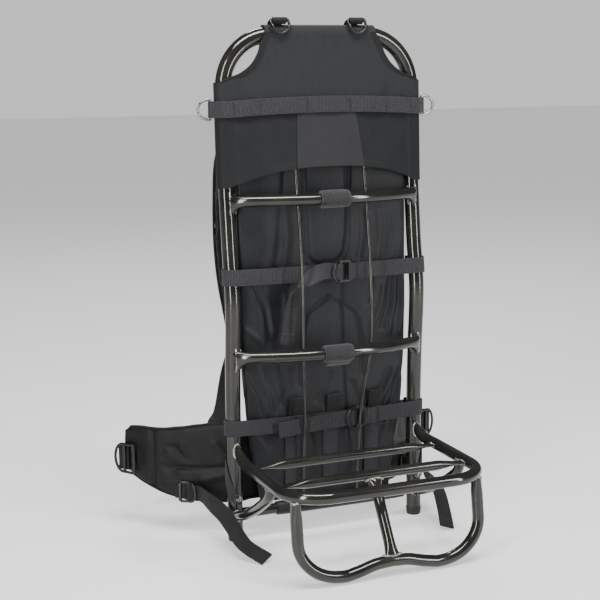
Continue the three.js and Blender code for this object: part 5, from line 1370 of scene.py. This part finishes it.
def belt_front(s, z, proud=0.0):
    """Points on the load side of the belt, and the directions along and out of it."""
    point, _, _, thick = belt_at(s)
    ahead = unit((belt_at(np.asarray(s) + 0.01)[0] - point))
    out = columns(ahead[..., 1], -ahead[..., 0], 0)
    out = np.where(out[..., 1:2] > 0, -out, out)
    place = point + out * (thick / 2 + proud)[..., None]
    place[..., 2] = z
    return place, ahead, out


def edge_line(obj, s, way):
    """The object's top or bottom edge above or below the belt's middle line, smoothed."""
    tree = BVHTree.FromObject(obj, bpy.context.evaluated_depsgraph_get())
    point, low, high, _ = belt_at(s)
    found = np.array(mix(low, high, 0.5 + way / 2))
    for k, at in enumerate(world(point)):
        hit = tree.ray_cast(Vector((at[0], at[1], 0.1 + 0.2 * way)), Vector((0, 0, -way)), 0.4)[0]
        if hit:
            found[k] = hit[2] / MM
    point[:, 2] = np.convolve(np.pad(found, 3, mode="edge"), np.ones(7) / 7, "valid")
    return point


rows, bind = [], []
for way in (1, -1):
    line = edge_line(belt, np.linspace(-0.972, 0.972, 260), way)
    bind.append(skin(carried(line - 0.4 * way * Z, Z, squarish(1.9, 4.2, 0.7, 16))))
piece("belt_binding", bind, BINDING)
tree = BVHTree.FromObject(belt, bpy.context.evaluated_depsgraph_get())
for s0, s1, u0, u1 in ((-0.895, -0.895, 0.05, 0.95), (-0.78, -0.5, 0.45, 0.455),
                       (-0.97, -0.5, 0.93, 0.93), (-0.9, -0.5, 0.06, 0.06)):
    for flip in (1, -1):
        s = np.linspace(s0, s1, 60) * flip
        _, low, high, _ = belt_at(s)
        place, _, out = belt_front(s, mix(low, high, np.linspace(u0, u1, 60)), 2.0)
        for k, (a, b) in enumerate(zip(place.copy(), out)):
            hit = tree.ray_cast(Vector(world(a + b * 20)), Vector(-b), 0.06)[0]
            if hit:
                place[k] = (np.array(hit) - PLACE) / MM + b * 0.2
        rows.append((place, out))
thread("belt_stitching", rows, "belt", pitch=3.4)


# Belt closure: locks on the wing tips, webbing round the wearer and a plain side-release buckle
LOCKS = {"left": (0.0, 0.0, 0.0), "right": (-38.0, 32.0, 12.0)}
CLOSURE, CLOSURE_Z, RELEASE_HALF = 212.0, 107, 35
for side, sign in SIDES:
    turn, out, low = LOCKS[side]
    tip, inner = belt_at(float(sign))[0], belt_at(sign * 0.92)[0]
    wing = unit((tip - inner) * (1, 1, 0))
    face = outwards(wing, sign) * 7.8
    c, s = math.cos(math.radians(turn)), math.sin(math.radians(turn))
    heading = np.array([wing[0] * c - wing[1] * s, wing[0] * s + wing[1] * c, 0])
    outward = outwards(heading, sign)
    centre = tip + heading * (14 - 21.5 + out) + outward * (BELT_THICK / 2 + FOLD + 0.8 + GAP)
    centre[2] = 113 - low
    lock = buckle(centre, 43.0, 40.0, -heading, outward, 3.4, 4.4)
    piece(f"wing_lock_{side}", lock, PLASTIC, [f"hip_lock_{side}"])
    level = np.array([(1, 1, 0)]) * tip + Z * centre[2]
    through = [centre + heading * ahead - outward * behind
               for ahead, behind in ((12.9, FOLD - GAP), (16.3, FOLD + 6), (10.75, FOLD + 16))]
    reach = sign * abs(centre[0])
    points = np.vstack([
        level - wing * 14 + face, level - wing * 2 + face, through,
        (reach * 0.78, mix(centre[1], CLOSURE, 0.75), centre[2] - 2),
        (reach * 0.5, CLOSURE, centre[2] - 4),
        (sign * 49, CLOSURE + 6, CLOSURE_Z), (sign * 35.6, CLOSURE + 6, CLOSURE_Z),
    ])
    tape_piece(f"belt_tape_{side}", smooth(points, 200), 40.0, DARK_WEBBING, f"hip_webbing_{side}",
               "hung", ["belt_cushion", f"wing_lock_{side}"], across=Z)

x = np.linspace(-RELEASE_HALF, RELEASE_HALF, 60)
waist = 21.5 + 3.2 * np.cos(x / RELEASE_HALF * np.pi / 2)
waist -= 2.2 * np.exp(-((np.abs(x) - 16) / 5) ** 2)
ends = np.clip(1 - (np.abs(x) / RELEASE_HALF) ** 14, 0.2, 1)
section = squarish(waist * ends ** 0.3, 6.2 * ends ** 0.5, 0.5, 32)
body = skin(carried(columns(x, CLOSURE + 6, CLOSURE_Z), Z, section))
z = np.linspace(92, 122, 20)
ribs = [tube(columns(at, CLOSURE + 12.3, z), 0.8, X, 10) for at in (-20.0, 20.0)]
piece("release_buckle", [body] + ribs, PLASTIC, ["hip_buckle"])


# ---------------------------------------------------------------- shoulder straps

for side, sign in SIDES:
    points = columns(sign * SHOULDER_LINE[:, 0] * 290, 118 * SHOULDER_LINE[:, 1],
                     mix(322, 648, SHOULDER_LINE[:, 2]))
    points[0, 1] = 19 + 2 * GAP + 3
    coarse = smooth(points, 18)
    wide = np.stack([np.linspace(0, 1, 8), SHOULDER_LINE[:, 3]], 1)
    line = smooth(points, 90)
    share = np.linspace(0, 1, 91)
    half = 31 * along(wide, 1, share) - 1
    thick = 6 * (1 - 0.5 * np.abs(2 * share - 1) ** 8) - 0.8
    band = skin(carried(line, X, squarish(half, thick, 0.7, 32)))

    def edge_seams(p, line=line, half=half):
        nearest = np.argmin(((p[:, None] - line[None, ::3]) ** 2).sum(2), 1) * 3
        return (np.abs(p[:, 0] - line[nearest, 0]) > half[nearest] - 6) | (nearest < 4) | (nearest > 84)

    def quilted(p, line=line):
        run = arc_length(line)
        nearest = np.argmin(((p[:, None] - line[None]) ** 2).sum(2), 1)
        across = p[:, 0] - line[nearest, 0]
        _, _, normal = frames(line, X)
        outward = ((p - line[nearest]) * normal[nearest]).sum(1)
        rib = 0.7 * np.cos(run[nearest] / 46 * 2 * np.pi) * np.exp(-(across / 20) ** 2)
        return p + normal[nearest] * (np.sign(outward) * rib * step(1, 3, np.abs(outward)))[:, None]

    cushion = stuffed(f"shoulder_cushion_{side}", band, BELT, [f"shoulder_strap_{side}"],
                      edge_seams, quilted, 4.5, 2.5, 3.0)
    binds = [tube((line + X * (edge * half)[:, None])[2:-2], 1.9, X, 10) for edge in (-1, 1)]
    piece(f"shoulder_binding_{side}", binds, BINDING)
    # The webbing runs from the strap's foot to where it is sewn inside the belt
    start = coarse[-1]
    heading = unit(start - coarse[-2])
    sewn_at, _, sewn_top, _ = belt_at(sign * 0.6)
    beside = unit((belt_at(sign * 0.64)[0] - sewn_at) * (1, 1, 0))
    inward = -outwards(beside, sign) * (BELT_THICK / 2 + 1.6 + 0.9)
    sewn = sewn_at + inward + Z * (sewn_top - 45)
    points = np.array([
        start + heading * 0.6, start + heading * 14, mix(start, sewn, 0.35) + (0, 4, 0),
        mix(start, sewn, 0.7) + (0, 4, 0), (sewn[0], sewn[1], sewn_top - 5), sewn,
    ])
    turn = step(0.3, 0.75, np.linspace(0, 1, 91))[:, None]
    line = np.hstack([smooth(points, 90), mix(X, beside * sign, turn)])
    tape_piece(f"shoulder_tape_{side}", line, WEB, DARK_WEBBING, f"shoulder_webbing_{side}",
               "hung", [f"shoulder_cushion_{side}", "belt_cushion"])


# ---------------------------------------------------------------- anchors and stabiliser straps

TAIL_LINE = np.array([
    (-.17, 1.225, 1.187, .9, 1.02), (.12, 1.155, 1.168, .73, .87), (.38, 1.13, 1.168, .545, .69),
    (.71, 1.096, 1.12, .305, .34), (1, .955, 1.054, .09, .09),
])
ANCHOR_R = (HOOP_R + 2 * GAP) / math.cos(math.pi / 16) + WEB_WALL / 2
LOCK_Z, ANCHOR_WIDTH = 68.4, 20.0
PLACES = {"left": (-0.72, 118.0, 1), "right": (0.66, 118.0 * 0.85, 2)}
for side, sign in SIDES:
    t, s = np.linspace(0, 1, 50)[:, None], np.linspace(0, 1, 13)[None]
    across = (s - 0.5) * ANCHOR_WIDTH
    angle = np.radians(mix(48, -82, t)) + across * 0.92 / ANCHOR_R
    grid = columns(sign * (HOOP_HALF + ANCHOR_R * np.cos(angle)), ANCHOR_R * np.sin(angle),
                   64 + 72 * (1 - t) + across * 0.39)
    anchor = piece(f"anchor_tape_{side}", shell(grid, WEB_WALL, v=(s[0] - 0.5) * 0.02), WEBBING,
                   [f"anchor_webbing_{side}"])
    place, long, column = PLACES[side]
    spot = belt_at(place)[0]
    heading = unit((belt_at(place + sign * 0.03)[0] - spot) * (1, 1, 0))
    outward = outwards(heading, sign)

    def on_belt(ahead, proud, spot=spot, heading=heading, outward=outward):
        return (spot + heading * ahead + outward * (BELT_THICK / 2 + proud)) * (1, 1, 0) + Z * LOCK_Z

    lock = buckle(on_belt(0, 1.5 + 2 * GAP), BUCKLE_L * 0.9, WEB, -sign * heading, outward, lift=6.6)
    piece(f"side_lock_{side}", lock, PLASTIC, [f"stabiliser_lock_{side}"])
    fold = 1.5 + 2 * GAP + FOLD
    hang = columns(sign * HOOP_HALF * TAIL_LINE[:, column], -long * TAIL_LINE[:, 0],
                   LOCK_Z * TAIL_LINE[:, column + 2] + GAP)
    points = np.vstack([on_belt(-2 * sign, fold), on_belt(9 * sign, fold + GAP),
                        on_belt(20 * sign, fold + 2), hang])
    turn = step(0.1, 0.6, np.linspace(0, 1, 121))
    line = np.hstack([smooth(points, 120), columns(-0.9 * sign * turn, 0, mix(1, 0.2, turn))])
    tape_piece(f"side_tape_{side}", line, WEB, DARK_WEBBING, f"stabiliser_strap_{side}", "hung",
               [f"side_lock_{side}"], hems=(False, True))
    # Small sewn patch of webbing that holds the lock to the belt
    s = place - sign * np.linspace(-0.012, -0.062, 16)
    base, _, _ = belt_front(s, np.full(16, LOCK_Z), 1.6)
    tape_piece(f"lock_holder_{side}", base, 22.0, DARK_WEBBING, None, "laid", ["belt_cushion"],
               slot="belt", wall=1.4, across=Z)


# ---------------------------------------------------------------- camera, stage and light

SENSOR, FOCAL_PIXELS, PHOTO_PIXELS = 36.0, 1331.4967, 600


def photo_camera():
    """The photograph's view: its place and turn from the fit of the frame's corners."""
    azimuth, elevation, roll = np.radians([-22.491320, 9.435191, -0.782353])
    level = math.cos(elevation)
    back = np.array([math.sin(azimuth) * level, -math.cos(azimuth) * level, math.sin(elevation)])
    right = unit(np.cross(-back, Z))
    down = np.cross(-back, right)
    c, s = math.cos(roll), math.sin(roll)
    axes = np.array([[c, -s, 0], [s, c, 0], [0, 0, 1]]) @ np.array([right, down, -back])
    data = bpy.data.cameras.new("photo_camera")
    data.sensor_width, data.lens = SENSOR, SENSOR * FOCAL_PIXELS / PHOTO_PIXELS
    data.clip_end = 50
    obj = bpy.data.objects.new("photo_camera", data)
    SCENE.collection.objects.link(obj)
    matrix = np.eye(4)
    matrix[:3, 0], matrix[:3, 1], matrix[:3, 2] = axes[0], -axes[1], -axes[2]
    matrix[:3, 3] = world((-829.94, -1902.607, 718.194))
    obj.matrix_world = Matrix(matrix.tolist())
    SCENE.camera = obj


def softbox(name, place, aim, size, power):
    """Area light that faces a point."""
    data = bpy.data.lights.new(name, "AREA")
    data.shape = "RECTANGLE"
    data.size, data.size_y = size
    data.energy = power
    obj = bpy.data.objects.new(name, data)
    SCENE.collection.objects.link(obj)
    obj.location = place
    obj.rotation_euler = (Vector(place) - Vector(aim)).to_track_quat("Z", "Y").to_euler()


photo_camera()
floor = bpy.data.meshes.new("floor")
floor.from_pydata([(-25, -25, 0), (25, -25, 0), (25, 25, 0), (-25, 25, 0)], [], [(0, 1, 2, 3)])
floor_finish = Finish("pale_floor", Roughness=0.6, Emission_Color=(1, 1, 1, 1), Emission_Strength=0.6)
floor.materials.append(floor_finish.done((0.5, 0.5, 0.5)))
floor_object = bpy.data.objects.new("floor", floor)
SCENE.collection.objects.link(floor_object)
sky = bpy.data.worlds.new("studio")
sky.use_nodes = True
tree = sky.node_tree
backdrop = tree.nodes["Background"]
seen = tree.nodes.new("ShaderNodeLightPath")
level = tree.nodes.new("ShaderNodeMapRange")
level.inputs["To Min"].default_value, level.inputs["To Max"].default_value = 0.08, 0.78
tree.links.new(seen.outputs["Is Camera Ray"], level.inputs["Value"])
tree.links.new(level.outputs[0], backdrop.inputs["Strength"])
backdrop.inputs["Color"].default_value = (1, 1, 1, 1)
SCENE.world = sky
softbox("window_left", (-2.0, -1.5, 1.1), (0, 0, 0.4), (0.4, 2.2), 80)
softbox("window_right", (1.5, -2.1, 1.0), (0, 0, 0.4), (0.3, 2.0), 56)
softbox("ceiling", (-0.2, -0.7, 2.4), (0, -0.1, 0.3), (1.8, 0.6), 105)
softbox("behind", (0.7, 2.6, 3.2), (0, 0.1, 0.4), (1.2, 1.2), 75)
